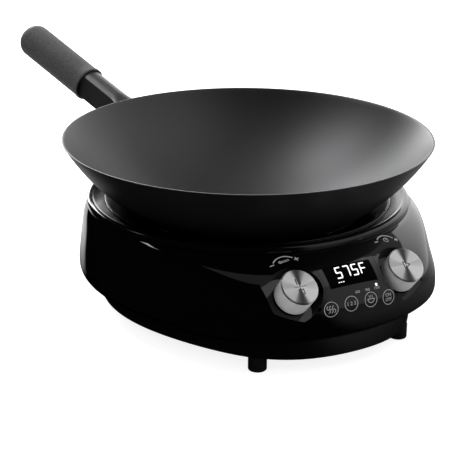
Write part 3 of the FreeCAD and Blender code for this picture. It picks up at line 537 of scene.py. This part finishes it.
def handlePlace():
    turn, lift = math.radians(handle["azimuth"]), math.radians(handle["lift"])
    axis = Vector((math.cos(turn) * math.cos(lift), math.sin(turn) * math.cos(lift),
                   math.sin(lift)))
    side = Vector((-math.sin(turn), math.cos(turn), 0))
    matrix = Matrix((side, axis.cross(side), axis)).transposed().to_4x4()
    matrix.translation = (wok["rim"] * math.cos(turn), wok["rim"] * math.sin(turn),
                          handle["height"])
    return matrix


# sleeve with a lip at its mouth, a slightly swelling shaft and a ball-shaped end
def makeGrip():
    start, end, radius = handle["gripStart"], handle["gripEnd"], handle["gripRadius"]
    domeFoot = end - handle["dome"]
    belly = radius + handle["swell"]
    ball, ballAcross, ballAlong = handle["ball"]
    dome = []
    for row in range(handle["domeRows"] + 1):
        turn = math.radians(handle["ballFrom"] + handle["ballSweep"] * row / handle["domeRows"])
        dome.append((ballAcross + ball * math.cos(turn), end - ballAlong + ball * math.sin(turn)))
    shaftFoot, rows = start + handle["lipWidth"] + mm, handle["shaftRows"]
    shaft = [(radius + (belly - radius) * row / rows,
              shaftFoot + (domeFoot - shaftFoot) * row / rows) for row in range(rows)]
    outline = [(handle["mouth"], start), (radius + handle["lip"], start),
               (radius + handle["lip"], start + handle["lipWidth"])] + shaft + dome
    outline += [(handle["screwHole"], end), (handle["screwHole"], end - handle["screwDepth"]),
                (handle["bore"], end - handle["screwDepth"] - handle["coneDepth"]),
                (handle["bore"], handle["socket"]), (handle["mouth"], handle["socket"])]
    rounds = [(outline[0], 0.3 * mm), (outline[1], 0.45 * mm), (outline[2], 0.3 * mm),
              ((handle["screwHole"], end), 0.4 * mm)]
    piece = turnedPiece("gripSleeve", outline, rounds, place=handlePlace())
    finishPiece(piece, "wok", "grip_rubber", ["handle_grip"], 40)


makeWok()
makeGrip()
print("wok and grip made")


lip = dict(outer=155.6 * mm, inner=149.0 * mm, round=3.4 * mm, seat=103.1 * mm, skirt=143.2 * mm,
           step=105.6 * mm, bore=138.3 * mm, shelf=2.6 * mm, shelfBore=124.3 * mm)
lipLow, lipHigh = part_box("lip_ring")


def makeLip():
    low, top, shelfTop = lipLow.z, lipHigh.z, lipLow.z + lip["shelf"]
    outline = [(lip["skirt"], low), (lip["skirt"], lip["seat"]), (lip["outer"], lip["seat"]),
               (lip["outer"], top), (lip["inner"] + 1.6 * mm, top),
               (lip["inner"] - 0.6 * mm, top - 1.0 * mm), (lip["bore"], lip["step"]),
               (lip["bore"], shelfTop), (lip["shelfBore"], shelfTop), (lip["shelfBore"], low)]
    rounds = [(outline[2], 0.7 * mm), (outline[3], lip["round"]), (outline[4], 0.5 * mm),
              (outline[5], 0.4 * mm), (outline[6], 0.3 * mm)]
    piece = turnedPiece("lipRing", outline, rounds, fineSteps)
    finishPiece(piece, "base", "lip_plastic", ["lip_ring"], 35)


glass = dict(gap=1.6 * mm, thick=4 * mm, dish=115 * mm, edge=136 * mm, edgeHeight=105.4 * mm,
             rows=30, fold=0.6 * mm, edgeRound=0.8 * mm,
             printRings=(52 * mm, 90 * mm), printWidth=1.1 * mm, printRise=0.06 * mm, markSteps=192)
trim = dict(gap=0.1 * mm, reach=2.0 * mm, below=0.2 * mm, above=1.0 * mm, round=0.6 * mm)


def makeGlass():
    over = wok["sphere"] + glass["gap"]
    under = over + glass["thick"]
    upper = capArc(over, 0, glass["dish"], glass["rows"])
    lower = capArc(under, 0, glass["dish"] - glass["fold"], glass["rows"])
    edge, high = glass["edge"], glass["edgeHeight"]
    outline = lower + [(edge, high - glass["thick"]), (edge, high)] + upper[::-1]
    rounds = [((edge, high), glass["edgeRound"]), ((edge, high - glass["thick"]), 0.6 * mm)]
    piece = turnedPiece("glassDish", outline, rounds, fineSteps)
    finishPiece(piece, "base", "black_glass", ["glass_bowl"], 35)
    for index, radius in enumerate(glass["printRings"]):
        reach = radius + glass["printWidth"]
        band = capArc(over - glass["printRise"], radius, reach, 1)
        foot = capArc(over, radius, reach, 1)
        ring = turnedPiece(f"glassMark{index + 1}", band + foot[::-1], (), glass["markSteps"])
        finishPiece(ring, "base", "black_glass", material=glassPrint)


def makeTrim():
    inner, outer = glass["edge"] + trim["gap"], glass["edge"] + trim["reach"]
    low = glass["edgeHeight"] - glass["thick"] - trim["below"]
    high = glass["edgeHeight"] + trim["above"]
    outline = [(inner, low), (outer, low), (outer, high), (inner, high)]
    rounds = [(corner, trim["round"]) for corner in outline[2:]]
    piece = turnedPiece("bowlTrim", outline, rounds, fineSteps)
    finishPiece(piece, "base", "trim_ring", ["bowl_trim"], 35)


makeLip()
makeGlass()
makeTrim()
print("lip, glass and trim made")


shell = dict(
    base=31.5, wall=2.8, rows=48,
    # rise above the lower edge, radius at the sides, reach of the nose, its half width in
    # degrees, how square its shoulders are
    sections=[(0.0, 154.8, 32.0, 46.0, 6.0), (3.5, 159.8, 32.4, 46.0, 6.5),
              (9.5, 163.2, 34.6, 45.5, 6.5), (20.5, 163.4, 36.8, 44.5, 6.5),
              (32.5, 162.2, 37.2, 44.0, 6.5), (44.5, 160.8, 33.8, 44.0, 6.5),
              (55.5, 159.4, 25.3, 48.5, 6.5), (64.5, 157.5, 14.2, 59.0, 6.5),
              (71.5, 154.9, 3.5, 73.0, 6.5)],
    deckHole=144.0, seam=0.22, wellRadius=24.5, wellTip=31.0, tipAngle=30.0, wellDepth=21.0,
    wellWall=1.8, wellFloor=2.4, bushing=3.7, gland=(52.0, 150.0, 48.0), glandHole=8.0,
)
panel = dict(consoleHalf=30.2, consoleTop=33.5, consoleBend=-9.0,
             consoleFoot=[(36.0, -20.0), (49.0, -28.0), (53.0, -38.0)],
             window=(49.1, 21.1), windowMiddle=(0, -182.5 * mm, 87.7 * mm), windowThick=1.8)


# slopes of the natural cubic curve through the values at the stations
def slopesAt(stations, values):
    spans = [after - before for before, after in zip(stations, stations[1:])]
    pulls = [3 * (after - before) / span ** 2
             for before, after, span in zip(values, values[1:], spans)]
    low = [0.0] + [1 / span for span in spans]
    high = low[1:] + [0.0]
    diag = [2 * (before + after) for before, after in zip(low, high)]
    right = [before + after for before, after in zip([0.0] + pulls, pulls + [0.0])]
    for index in range(1, len(diag)):
        share = low[index] / diag[index - 1]
        diag[index] -= share * high[index - 1]
        right[index] -= share * right[index - 1]
    slopes = [right[-1] / diag[-1]]
    for index in reversed(range(len(spans))):
        slopes.insert(0, (right[index] - high[index] * slopes[0]) / diag[index])
    return slopes


stations = [section[0] for section in shell["sections"]]
columns = [[section[index] for section in shell["sections"]] for index in range(1, 5)]
columnSlopes = [slopesAt(stations, values) for values in columns]


# side radius, nose, width and squareness of the shell at a rise in millimetres
def sectionAt(rise):
    rise = min(max(rise, stations[0]), stations[-1])
    index = max(i for i in range(len(stations) - 1) if stations[i] <= rise)
    span = stations[index + 1] - stations[index]
    part = (rise - stations[index]) / span
    found = []
    for values, slopes in zip(columns, columnSlopes):
        first, last = values[index], values[index + 1]
        found.append(first * (1 + 2 * part) * (1 - part) ** 2 + last * part ** 2 * (3 - 2 * part)
                     + span * part * (1 - part) * (slopes[index] * (1 - part)
                                                   - slopes[index + 1] * part))
    return found


# solid block of the shell's egg-shaped plan between two heights, drawn in by inset
def eggBlock(name, low, high, rows, inset):
    deselectAll()
    bpy.ops.mesh.primitive_circle_add(vertices=fineSteps, radius=100 * mm,
                                      fill_type="NGON", location=(0, 0, low * mm))
    piece = newPiece(name)
    applyPlace(piece)
    editMode()
    selectAll()
    for _ in range(rows):
        bpy.ops.mesh.extrude_region_move(
            TRANSFORM_OT_translate={"value": (0, 0, (high - low) / rows * mm)})
    tidyMesh(pickReach)
    for vertex in piece.data.vertices:
        side, nose, width, square = sectionAt(vertex.co.z / mm - shell["base"])
        turn = math.atan2(vertex.co.x, -vertex.co.y)
        reach = side + nose / (1 + (abs(math.degrees(turn)) / width) ** square) - inset
        vertex.co.x = reach * mm * math.sin(turn)
        vertex.co.y = -reach * mm * math.cos(turn)
    return piece


# straight block with an outline of corners, in millimetres, in the frame of place
def prismPiece(name, corners, low, high, place):
    points = [(x * mm, y * mm, low * mm) for x, y in corners]
    piece = startPoint(name, points[0])
    drawThrough(points + points[:1])
    bpy.ops.mesh.edge_face_add()
    bpy.ops.mesh.extrude_region_move(TRANSFORM_OT_translate={"value": (0, 0, (high - low) * mm)})
    tidyMesh()
    applyPlace(piece, place)
    return piece


def copyPiece(piece, name):
    deselectAll()
    twin = piece.copy()
    twin.data = piece.data.copy()
    bpy.context.scene.collection.objects.link(twin)
    return nameIt(twin, name)


def boolean(piece, operation, *tools, keep=False):
    for tool in tools:
        applyModifier(piece, "BOOLEAN", operation=operation, object=tool, solver="EXACT")
        if not keep:
            bpy.data.objects.remove(tool)
    return piece


def roundOutline(radius, count):
    turns = [math.tau * index / count for index in range(count)]
    return [(radius * math.cos(turn), radius * math.sin(turn)) for turn in turns]


# round outline with a run-out towards the side of the base and up the slope
def wellOutline(radius, tip, side):
    count = 128
    opening = math.acos(radius / tip)
    heading = math.radians(shell["tipAngle"])
    corners = []
    for index in range(count):
        turn = math.tau * index / count - math.pi
        reach = radius / math.cos(opening - abs(turn)) if abs(turn) < opening else radius
        corners.append((side * reach * math.cos(turn + heading), reach * math.sin(turn + heading)))
    return corners


def knobPlace(side):
    return panelFrame(side * knobJoint["pos_m"][0])


def wellBlock(side, grown):
    wall = shell["wellWall"] + grown
    low = -shell["wellDepth"] - shell["wellFloor"] - grown
    corners = wellOutline(shell["wellRadius"] + wall, shell["wellTip"] + 2 * wall, side)
    return prismPiece("wellBlock", corners, low, 20, knobPlace(side))


def consoleBlock(drawnIn):
    half = [(panel["consoleHalf"], panel["consoleTop"]),
            (panel["consoleHalf"], panel["consoleBend"])] + panel["consoleFoot"]
    right = [(x - drawnIn, y) for x, y in half]
    right[0] = (right[0][0], right[0][1] - drawnIn)
    right[-1] = (right[-1][0], right[-1][1] + drawnIn)
    left = [(-x, y) for x, y in reversed(right)]
    block = prismPiece("consoleBlock", right + left, -60, 30, panelFrame())
    return boolean(block, "DIFFERENCE", wellBlock(-1, drawnIn), wellBlock(1, drawnIn))


def windowBlock(drawnIn):
    middle = panelFrame().inverted() @ Vector(panel["windowMiddle"])
    wide, high = (size / 2 - drawnIn for size in panel["window"])
    rise = middle.y / mm
    corners = [(-wide, rise - high), (wide, rise - high), (wide, rise + high), (-wide, rise + high)]
    return prismPiece("windowBlock", corners, -20, 20, panelFrame())


# the cutting blocks reach well past the walls
def makeShell():
    base, top = shell["base"], shell["base"] + stations[-1]
    outer = eggBlock("upperShell", base, top, shell["rows"], 0)
    signSurface = copyPiece(outer, "signSurface")
    inner = eggBlock("shellHollow", base - 5, top - shell["wall"], 24, shell["wall"])
    console = copyPiece(outer, "controlConsole")
    boolean(console, "DIFFERENCE", inner, keep=True)
    boolean(console, "INTERSECT", consoleBlock(shell["seam"]))
    boolean(console, "DIFFERENCE", windowBlock(0))
    window = copyPiece(outer, "displayWindow")
    thin = eggBlock("windowHollow", base - 5, top - 1, 48, panel["windowThick"])
    boolean(window, "DIFFERENCE", thin)
    boolean(window, "INTERSECT", windowBlock(0.1))
    boolean(inner, "DIFFERENCE", wellBlock(-1, 0), wellBlock(1, 0))
    boolean(outer, "DIFFERENCE", inner)
    opening = roundOutline(shell["deckHole"], fineSteps)
    boolean(outer, "DIFFERENCE", prismPiece("deckHole", opening, top - 20, top + 10, Matrix()))
    boolean(outer, "DIFFERENCE", consoleBlock(-shell["seam"] / 2))
    for side in (-1, 1):
        room = wellOutline(shell["wellRadius"], shell["wellTip"], side)
        boolean(outer, "DIFFERENCE",
                prismPiece("wellRoom", room, -shell["wellDepth"], 40, knobPlace(side)))
        hole = roundOutline(shell["bushing"], 48)
        boolean(outer, "DIFFERENCE", prismPiece("bushingHole", hole, -40, 0, knobPlace(side)))
    gland = Vector(shell["gland"]) * mm
    outward = Vector((gland.x, gland.y, 0)).normalized()
    glandPlace = outward.to_track_quat("Z", "X").to_matrix().to_4x4()
    glandPlace.translation = gland
    hole = roundOutline(shell["glandHole"], 64)
    boolean(outer, "DIFFERENCE", prismPiece("glandHole", hole, -25, 25, glandPlace))
    finishPiece(outer, "base", "gloss_black", ["upper_housing"])
    finishPiece(console, "base", "gloss_black", ["control_console"])
    finishPiece(window, "base", "display_lens", ["display_window"])
    return signSurface


signSurface = makeShell()
print("shell, console and window made")


knob = dict(radius=17.25, height=19.5, bevel=0.9, taper=0.5, wall=1.4, top=1.2, steps=192)


def makeKnob(name, side):
    place = knobPlace(side)
    core = knob["radius"] - knob["wall"]
    outline = [(0, 0), (knob["radius"] - knob["bevel"], 0), (knob["radius"], -knob["bevel"]),
               (knob["radius"] - knob["taper"], -knob["height"]), (core, -knob["height"]),
               (core, -knob["top"]), (0, -knob["top"])]
    outline = [(radius * mm, height * mm) for radius, height in outline]
    rounds = [(outline[1], 0.25 * mm), (outline[2], 0.25 * mm), (outline[3], 0.3 * mm)]
    piece = turnedPiece(name + "KnobCap", outline, rounds, knob["steps"], place)
    finish = spunFinishWithPaintedSheen(name + "SpunSteelPaintedSheen", place.translation, place.col[2].to_3d())
    finishPiece(piece, name + "_knob", "spun_steel", [name + "_knob_cap"], 20, finish)


makeKnob("left", -1)
makeKnob("right", 1)
print("knobs made")


signs = dict(rise=0.05, thick=0.05, lift=20.0, knobRise=0.03, knobThick=0.06)


# turns a flat shape and lays it at its middle
def layFlat(piece, middle, angle=0):
    piece.rotation_euler[2] = math.radians(angle)
    piece.location = (middle[0] * mm, middle[1] * mm, 0)
    applyPlace(piece)
    return piece


# flat ring or arc about middle, from a start angle through sweep degrees
def bandShape(name, middle, radius, width, start, sweep, steps=40):
    inner = (radius - width / 2) * mm
    piece = startPoint(name, (inner, 0, 0))
    drawThrough([(inner, 0, 0), (inner + width * mm, 0, 0)])
    bpy.ops.mesh.spin(steps=steps, angle=-math.radians(sweep), center=(0, 0, 0), axis=(0, 0, 1))
    tidyMesh()
    return layFlat(piece, middle, start)


# flat bar with rounded ends
def barShape(name, middle, length, width, angle=0, blunt=0.4):
    piece = smallPlane(name)
    piece.scale = (length, width, 1)
    applyPlace(piece)
    editMode()
    selectAll()
    bpy.ops.mesh.bevel(offset=min(length, width) * blunt * mm, segments=3, affect="VERTICES")
    objectMode()
    return layFlat(piece, middle, angle)


# flat figures, made a mesh, centred on middle
def wordShape(name, words, middle, size):
    deselectAll()
    bpy.ops.object.text_add(location=(0, 0, 0))
    piece = bpy.context.object
    piece.data.body = words
    piece.data.size = size * mm
    piece.data.align_x = "CENTER"
    piece.data.align_y = "CENTER"
    bpy.ops.object.convert(target="MESH")
    return layFlat(newPiece(name), middle)


def joinShapes(name, shapes):
    deselectAll()
    for shape in shapes:
        shape.select_set(True)
    bpy.context.view_layer.objects.active = shapes[0]
    if len(shapes) > 1:
        bpy.ops.object.join()
    return newPiece(name)


# lays flat shapes onto the curved shell as a thin film of ink, along the frame's own normal
def printOn(shapes, name, place, material, slotName="gloss_black"):
    piece = joinShapes(name, shapes)
    activate(piece)
    editMode()
    selectAll()
    bpy.ops.mesh.remove_doubles(threshold=mergeReach)
    bpy.ops.mesh.quads_convert_to_tris()
    objectMode()
    piece.matrix_world = place @ Matrix.Translation((0, 0, signs["lift"] * mm))
    bpy.context.view_layer.update()
    applyModifier(piece, "SHRINKWRAP", target=signSurface, wrap_method="PROJECT",
                  use_project_z=True, use_negative_direction=True,
                  use_positive_direction=False, offset=signs["rise"] * mm)
    applyPlace(piece)
    applyModifier(piece, "SOLIDIFY", thickness=signs["thick"] * mm, offset=-1)
    finishPiece(piece, "base", slotName, material=material)


segments = {"a": (0, 1, 0), "b": (1, 0.5, 90), "c": (1, -0.5, 90), "d": (0, -1, 0),
            "e": (-1, -0.5, 90), "f": (-1, 0.5, 90), "g": (0, 0, 0)}
digits = dict(shown=("acdfg", "abc", "acdfg", "aefg"), first=-11.0, pitch=8.35, middle=7.2,
              wide=6.0, high=11.7, stroke=1.2, lean=0.11)


def digitShapes():
    shapes = []
    for place, lit in enumerate(digits["shown"]):
        for key in lit:
            across, up, angle = segments[key]
            y = up * (digits["high"] - digits["stroke"]) / 2
            x = across * (digits["wide"] - digits["stroke"]) / 2 + y * digits["lean"]
            length = (digits["high"] / 2 if angle else digits["wide"]) - digits["stroke"] * 0.55
            turn = angle - math.degrees(math.atan(digits["lean"])) if angle else 0
            middle = (digits["first"] + place * digits["pitch"] + x, digits["middle"] + y)
            shapes.append(barShape("segment", middle, length, digits["stroke"], turn, 0.45))
    return shapes


# the keys' own frame faces outwards more than the knobs' does
keys = dict(out=(0, -0.9682, 0.2500), middle=(0, -0.198, 0.066), radius=6.5, line=0.55,
            places=((-28.2, -1.0), (-8.3, 0.7), (12.2, 0.6), (32.0, -1.1)),
            watts=(("600", -0.1), ("900", 10.5), ("1500", 20.5)), wattsRise=9.5, wattsSize=3.3,
            lamp=(21.0, 12.3), lampRadius=1.25)
arcs = dict(left=(-52.4, 24.4), right=(56.4, 26.2), radius=12.9, line=0.95, start=44, sweep=94)


def keySigns(index, x, y):
    ring = bandShape("keyRing", (x, y), keys["radius"], keys["line"], 0, 360, 72)
    if index == 0:
        waves = [bandShape("wave", (x + dx, y + dy), 1.5, 0.55, start, 180, 14)
                 for dx in (-2.6, 0, 2.6) for dy, start in ((1.5, 90), (-1.5, -90))]
        return [ring] + waves
    if index == 1:
        return [ring, wordShape("figures", "1 2 3", (x, y), 4.6)]
    if index == 2:
        cup = bandShape("bowl", (x, y + 0.6), 3.4, 0.6, 180, 180, 24)
        edge = barShape("bowlEdge", (x, y + 0.7), 7.4, 0.6)
        steam = [barShape("steam", (x + dx, y + 2.9), 2.2, 0.5, 90) for dx in (-1.6, 0, 1.6)]
        return [ring, cup, edge] + steam
    return [ring, wordShape("on", "ON", (x, y + 2.0), 4.2),
            wordShape("off", "OFF", (x, y - 2.1), 4.2)]


def arcSigns(middle, kind):
    x, y = middle
    reach = arcs["radius"]
    shapes = [bandShape("arc", middle, reach, arcs["line"], arcs["start"], arcs["sweep"], 30),
              barShape("less", (x - reach + 1.2, y + 6.4), 4.6, 0.9, 8),
              barShape("more", (x + reach - 1.2, y + 6.9), 4.6, 0.9, 8),
              barShape("moreUp", (x + reach - 1.2, y + 6.9), 4.6, 0.9, 98)]
    if kind == "heat":
        shapes += [bandShape("bulb", (x - 3.6, y + 7.6), 1.1, 0.7, 0, 360, 24),
                   barShape("stem", (x + 1.4, y + 8.3), 7.6, 0.5, 4),
                   barShape("stemLow", (x + 1.4, y + 7.0), 7.6, 0.5, 4)]
    else:
        shapes += [bandShape("dial", (x, y + 7.6), 2.4, 0.55, 0, 360, 32),
                   barShape("hand", (x, y + 8.4), 1.9, 0.5, 90),
                   barShape("hour", (x + 0.7, y + 7.6), 1.6, 0.5, 0)]
    return shapes


def makeSigns():
    keyFrame = slopeFrame(keys["out"], keys["middle"])
    for index, (x, y) in enumerate(keys["places"]):
        printOn(keySigns(index, x, y), f"keySign{index + 1}", keyFrame, greyInk)
    for index, (figures, x) in enumerate(keys["watts"]):
        words = wordShape("watts", figures, (x, keys["wattsRise"]), keys["wattsSize"])
        printOn([words], f"powerFigures{index + 1}", keyFrame, greyInk)
    lampRadius = keys["lampRadius"]
    lamp = [bandShape("lamp", keys["lamp"], lampRadius / 2, lampRadius, 0, 360, 24)]
    printOn(lamp, "powerLamp", keyFrame, litWhite, "lamp_lens")
    printOn(arcSigns(arcs["left"], "heat"), "heatArc", panelFrame(), whiteInk)
    printOn(arcSigns(arcs["right"], "time"), "timeArc", panelFrame(), whiteInk)
    printOn(digitShapes(), "displayDigits", panelFrame(), litWhite, "display_lens")
    dashes = [barShape("dash", (x, -2.1), 1.6, 0.7) for x in (-14.4, -12.2, -10.0)]
    printOn(dashes, "displayDashes", panelFrame(), litWhite, "display_lens")


def knobSigns(name, side, shapes):
    piece = joinShapes(name + "KnobSigns", shapes)
    applyPlace(piece, knobPlace(side) @ Matrix.Translation((0, 0, signs["knobRise"] * mm)))
    applyModifier(piece, "SOLIDIFY", thickness=signs["knobThick"] * mm, offset=-1)
    finishPiece(piece, name + "_knob", "spun_steel", material=darkEngraving)


makeSigns()
bpy.data.objects.remove(signSurface)
pauseSign = [barShape("pause", (x, 5.0), 6.0, 1.1, 90) for x in (-1.7, 1.7)]
stopSign = [barShape("stop", (dx, dy - 5.0), 5.4, 0.9, turn, 0.1)
            for dx, dy, turn in ((-2.25, 0, 90), (2.25, 0, 90), (0, 2.25, 0), (0, -2.25, 0))]
startSign = [barShape("start", (x, y), length, 0.9, turn) for x, y, length, turn in
             ((-2.2, 0, 7.6, 90), (0.9, 1.8, 7.2, -30), (0.9, -1.8, 7.2, 30))]
knobSigns("left", -1, pauseSign + stopSign + [barShape("rule", (0, 0), 13.0, 0.45)])
knobSigns("right", 1, startSign)
print("signs made")


# azimuth 0 is at the controls and rises to the right, in degrees
stage = dict(floorSize=12, floorDrop=0.0002, floorGlow=0.84, floorPaint=0.78, skyFill=0.5)


# a glowing material; strength is a number or is fed later
class Glow(Nodes):
    def __init__(self, name, strength=0.0):
        self.material = bpy.data.materials.new(name)
        super().__init__(self.material)
        self.tree.nodes.clear()
        self.output = self.add("ShaderNodeOutputMaterial")
        self.light = self.add("ShaderNodeEmission")
        self.link(self.light.outputs[0], self.output.inputs["Surface"])
        self.glowAt(strength)

    def glowAt(self, strength):
        self.feed(self.light.inputs["Strength"], strength)


# 1 for rays from the camera, from gloss and through glass, 0 for the rest
def seenRays(tree):
    path = tree.add("ShaderNodeLightPath").outputs
    direct = tree.maths("MAXIMUM", path["Is Camera Ray"], path["Is Glossy Ray"])
    return tree.maths("MAXIMUM", direct, path["Is Transmission Ray"])


def makeFloor():
    deselectAll()
    bpy.ops.mesh.primitive_plane_add(size=stage["floorSize"],
                                     location=(0, 0, -stage["floorDrop"]))
    floor = newPiece("floor")
    tree = Glow("paleFloor")
    tree.glowAt(tree.maths("MULTIPLY", seenRays(tree), stage["floorGlow"]))
    paint = tree.add("ShaderNodeBsdfDiffuse")
    paint.inputs["Color"].default_value = [stage["floorPaint"]] * 3 + [1]
    both = tree.add("ShaderNodeAddShader")
    tree.link(tree.light.outputs[0], both.inputs[0])
    tree.link(paint.outputs[0], both.inputs[1])
    tree.link(both.outputs[0], tree.output.inputs["Surface"])
    floor.data.materials.append(tree.material)


def makeWorld():
    world = bpy.data.worlds.new("studio")
    bpy.context.scene.world = world
    tree = Nodes(world)
    background = tree.tree.nodes["Background"]
    background.inputs["Color"].default_value = (1, 1, 1, 1)
    strength = tree.spread(seenRays(tree), stage["skyFill"], 1.0, 0.0, 1.0)
    tree.link(strength, background.inputs["Strength"])


# keeps the faces of a card that lie inside its turn and rise
def trimCard(card, turn, rise):
    editMode()
    bpy.ops.mesh.select_mode(type="FACE")
    selectAll("DESELECT")
    objectMode()
    for polygon in card.data.polygons:
        middle = polygon.center
        azimuth = math.degrees(math.atan2(middle.x, -middle.y))
        height = math.degrees(math.atan2(middle.z, math.hypot(middle.x, middle.y)))
        inside = (azimuth - turn[0]) % 360 < turn[1] - turn[0] and rise[0] < height < rise[1]
        polygon.select = not inside
    editMode()
    bpy.ops.mesh.delete(type="FACE")
    bpy.ops.mesh.select_mode(type="VERT")
    objectMode()


# glow that changes with the azimuth, from stops of (degrees, strength)
def turnGlow(tree, space, stops):
    parts = tree.add("ShaderNodeSeparateXYZ")
    tree.link(space, parts.inputs[0])
    highest = max(glow for degrees, glow in stops)
    shares = [(degrees, glow / highest) for degrees, glow in stops]
    ahead = tree.maths("MULTIPLY", parts.outputs["Y"], -1.0)
    return tree.maths("MULTIPLY", tree.turnCurve(ahead, parts.outputs["X"], shares), highest)


def placeCard(card, material, shadow):
    card.data.materials.append(material)
    card.visible_camera = False
    card.visible_transmission = False
    card.visible_diffuse = shadow
    card.visible_shadow = shadow


# cards of (name, turn, rise, glow) on a sphere; the walls share the glow by azimuth
dome = dict(reach=3.2, segments=180, rings=90,
            cards=(("blackFlag", (187, 368), (-5, 70), 0.0), ("sideWall", (8, 95), (-5, 54), None),
                   ("backWall", (95, 187), (-5, 36), None), ("highCard", (95, 187), (36, 70), 0.3),
                   ("lowCard", (187, 200), (-5, 12), 0.8), ("topCard", (0, 360), (70, 90), 0.25)),
            wallGlow=((8, 0.15), (16, 0.58), (60, 0.62), (80, 0.9), (100, 1.6), (125, 2.0),
                      (150, 2.4), (184, 2.4)))


def domeCard(name, turn, rise):
    deselectAll()
    bpy.ops.mesh.primitive_uv_sphere_add(segments=dome["segments"], ring_count=dome["rings"],
                                         radius=dome["reach"])
    card = newPiece(name)
    trimCard(card, turn, rise)
    return card


# black flag round the front and left, a soft wall round the right and back, dim cards above
def makeDome():
    wall = Glow("wallCloth")
    wall.glowAt(turnGlow(wall, wall.objectSpace(), dome["wallGlow"]))
    for name, turn, rise, strength in dome["cards"]:
        glow = wall if strength is None else Glow(name + "Cloth", strength)
        placeCard(domeCard(name, turn, rise), glow.material, name != "blackFlag")


floorCard = dict(reach=3.3, steps=180, rise=0.0003, paintedShadow=(0.19, 0.32), dim=0.05,
                 left=(-0.190, -0.168),
                 tone=((0, 0.0), (8, 0.2), (70, 0.22), (90, 0.5), (120, 1.1), (225, 1.1),
                       (235, 0.0), (360, 0.0)))


# card on the floor that only gloss sees: dark close by, a painted shadow of the object, and dark beyond a line at
# the left
def makeFloorCard():
    deselectAll()
    bpy.ops.mesh.primitive_circle_add(vertices=floorCard["steps"], radius=floorCard["reach"],
                                      fill_type="TRIFAN", location=(0, 0, floorCard["rise"]))
    card = newPiece("floorCard")
    tree = Glow("cardPaper")
    space = tree.objectSpace()
    parts = tree.add("ShaderNodeSeparateXYZ")
    tree.link(space, parts.inputs[0])
    # painted shadow: the glow drops to dim close to the object
    paintedShadow = tree.spread(tree.vector("LENGTH", space), floorCard["dim"], 1.0, *floorCard["paintedShadow"])
    left = tree.spread(parts.outputs["X"], 0.0, 1.0, *floorCard["left"])
    strength = tree.maths("MULTIPLY", turnGlow(tree, space, floorCard["tone"]), paintedShadow)
    tree.glowAt(tree.maths("MULTIPLY", strength, left))
    placeCard(card, tree.material, False)


softboxes = (dict(name="backSoftbox", place=(0.24, 2.6, 1.3), size=(1.1, 2.2), power=50),
             dict(name="highSoftbox", place=(-0.80, 1.3, 2.3), size=(1.1, 1.0), power=26))
softboxAim = (0, 0, 0.1)


def makeLight(name, place, size, power):
    bpy.ops.object.light_add(type="AREA", location=place)
    light = bpy.context.object
    light.name = name
    light.data.shape = "RECTANGLE"
    light.data.size, light.data.size_y = size
    light.data.energy = power
    aim = Vector(softboxAim) - Vector(place)
    light.rotation_euler = aim.to_track_quat("-Z", "Y").to_euler()
    light.visible_camera = False


makeFloor()
makeWorld()
makeDome()
makeFloorCard()
for settings in softboxes:
    makeLight(**settings)


view = dict(place=(-703.05, -1224.21, 586.34), aim=(-7.29, 31.37, 65.73), roll=0.384, lens=122.99)


def makeCamera():
    bpy.ops.object.camera_add(location=[value * mm for value in view["place"]])
    camera = bpy.context.object
    camera.name = "mainCamera"
    look = (Vector(view["aim"]) - Vector(view["place"])).to_track_quat("-Z", "Y")
    turn = Matrix.Rotation(math.radians(view["roll"]), 4, "Z")
    camera.rotation_euler = (look.to_matrix().to_4x4() @ turn).to_euler()
    camera.data.lens = view["lens"]
    camera.data.sensor_width = 36
    camera.data.clip_start = 0.05
    bpy.context.scene.camera = camera


makeCamera()
bpy.context.scene.view_settings.view_transform = "Standard"
print("stage, lights and camera made")

deselectAll()
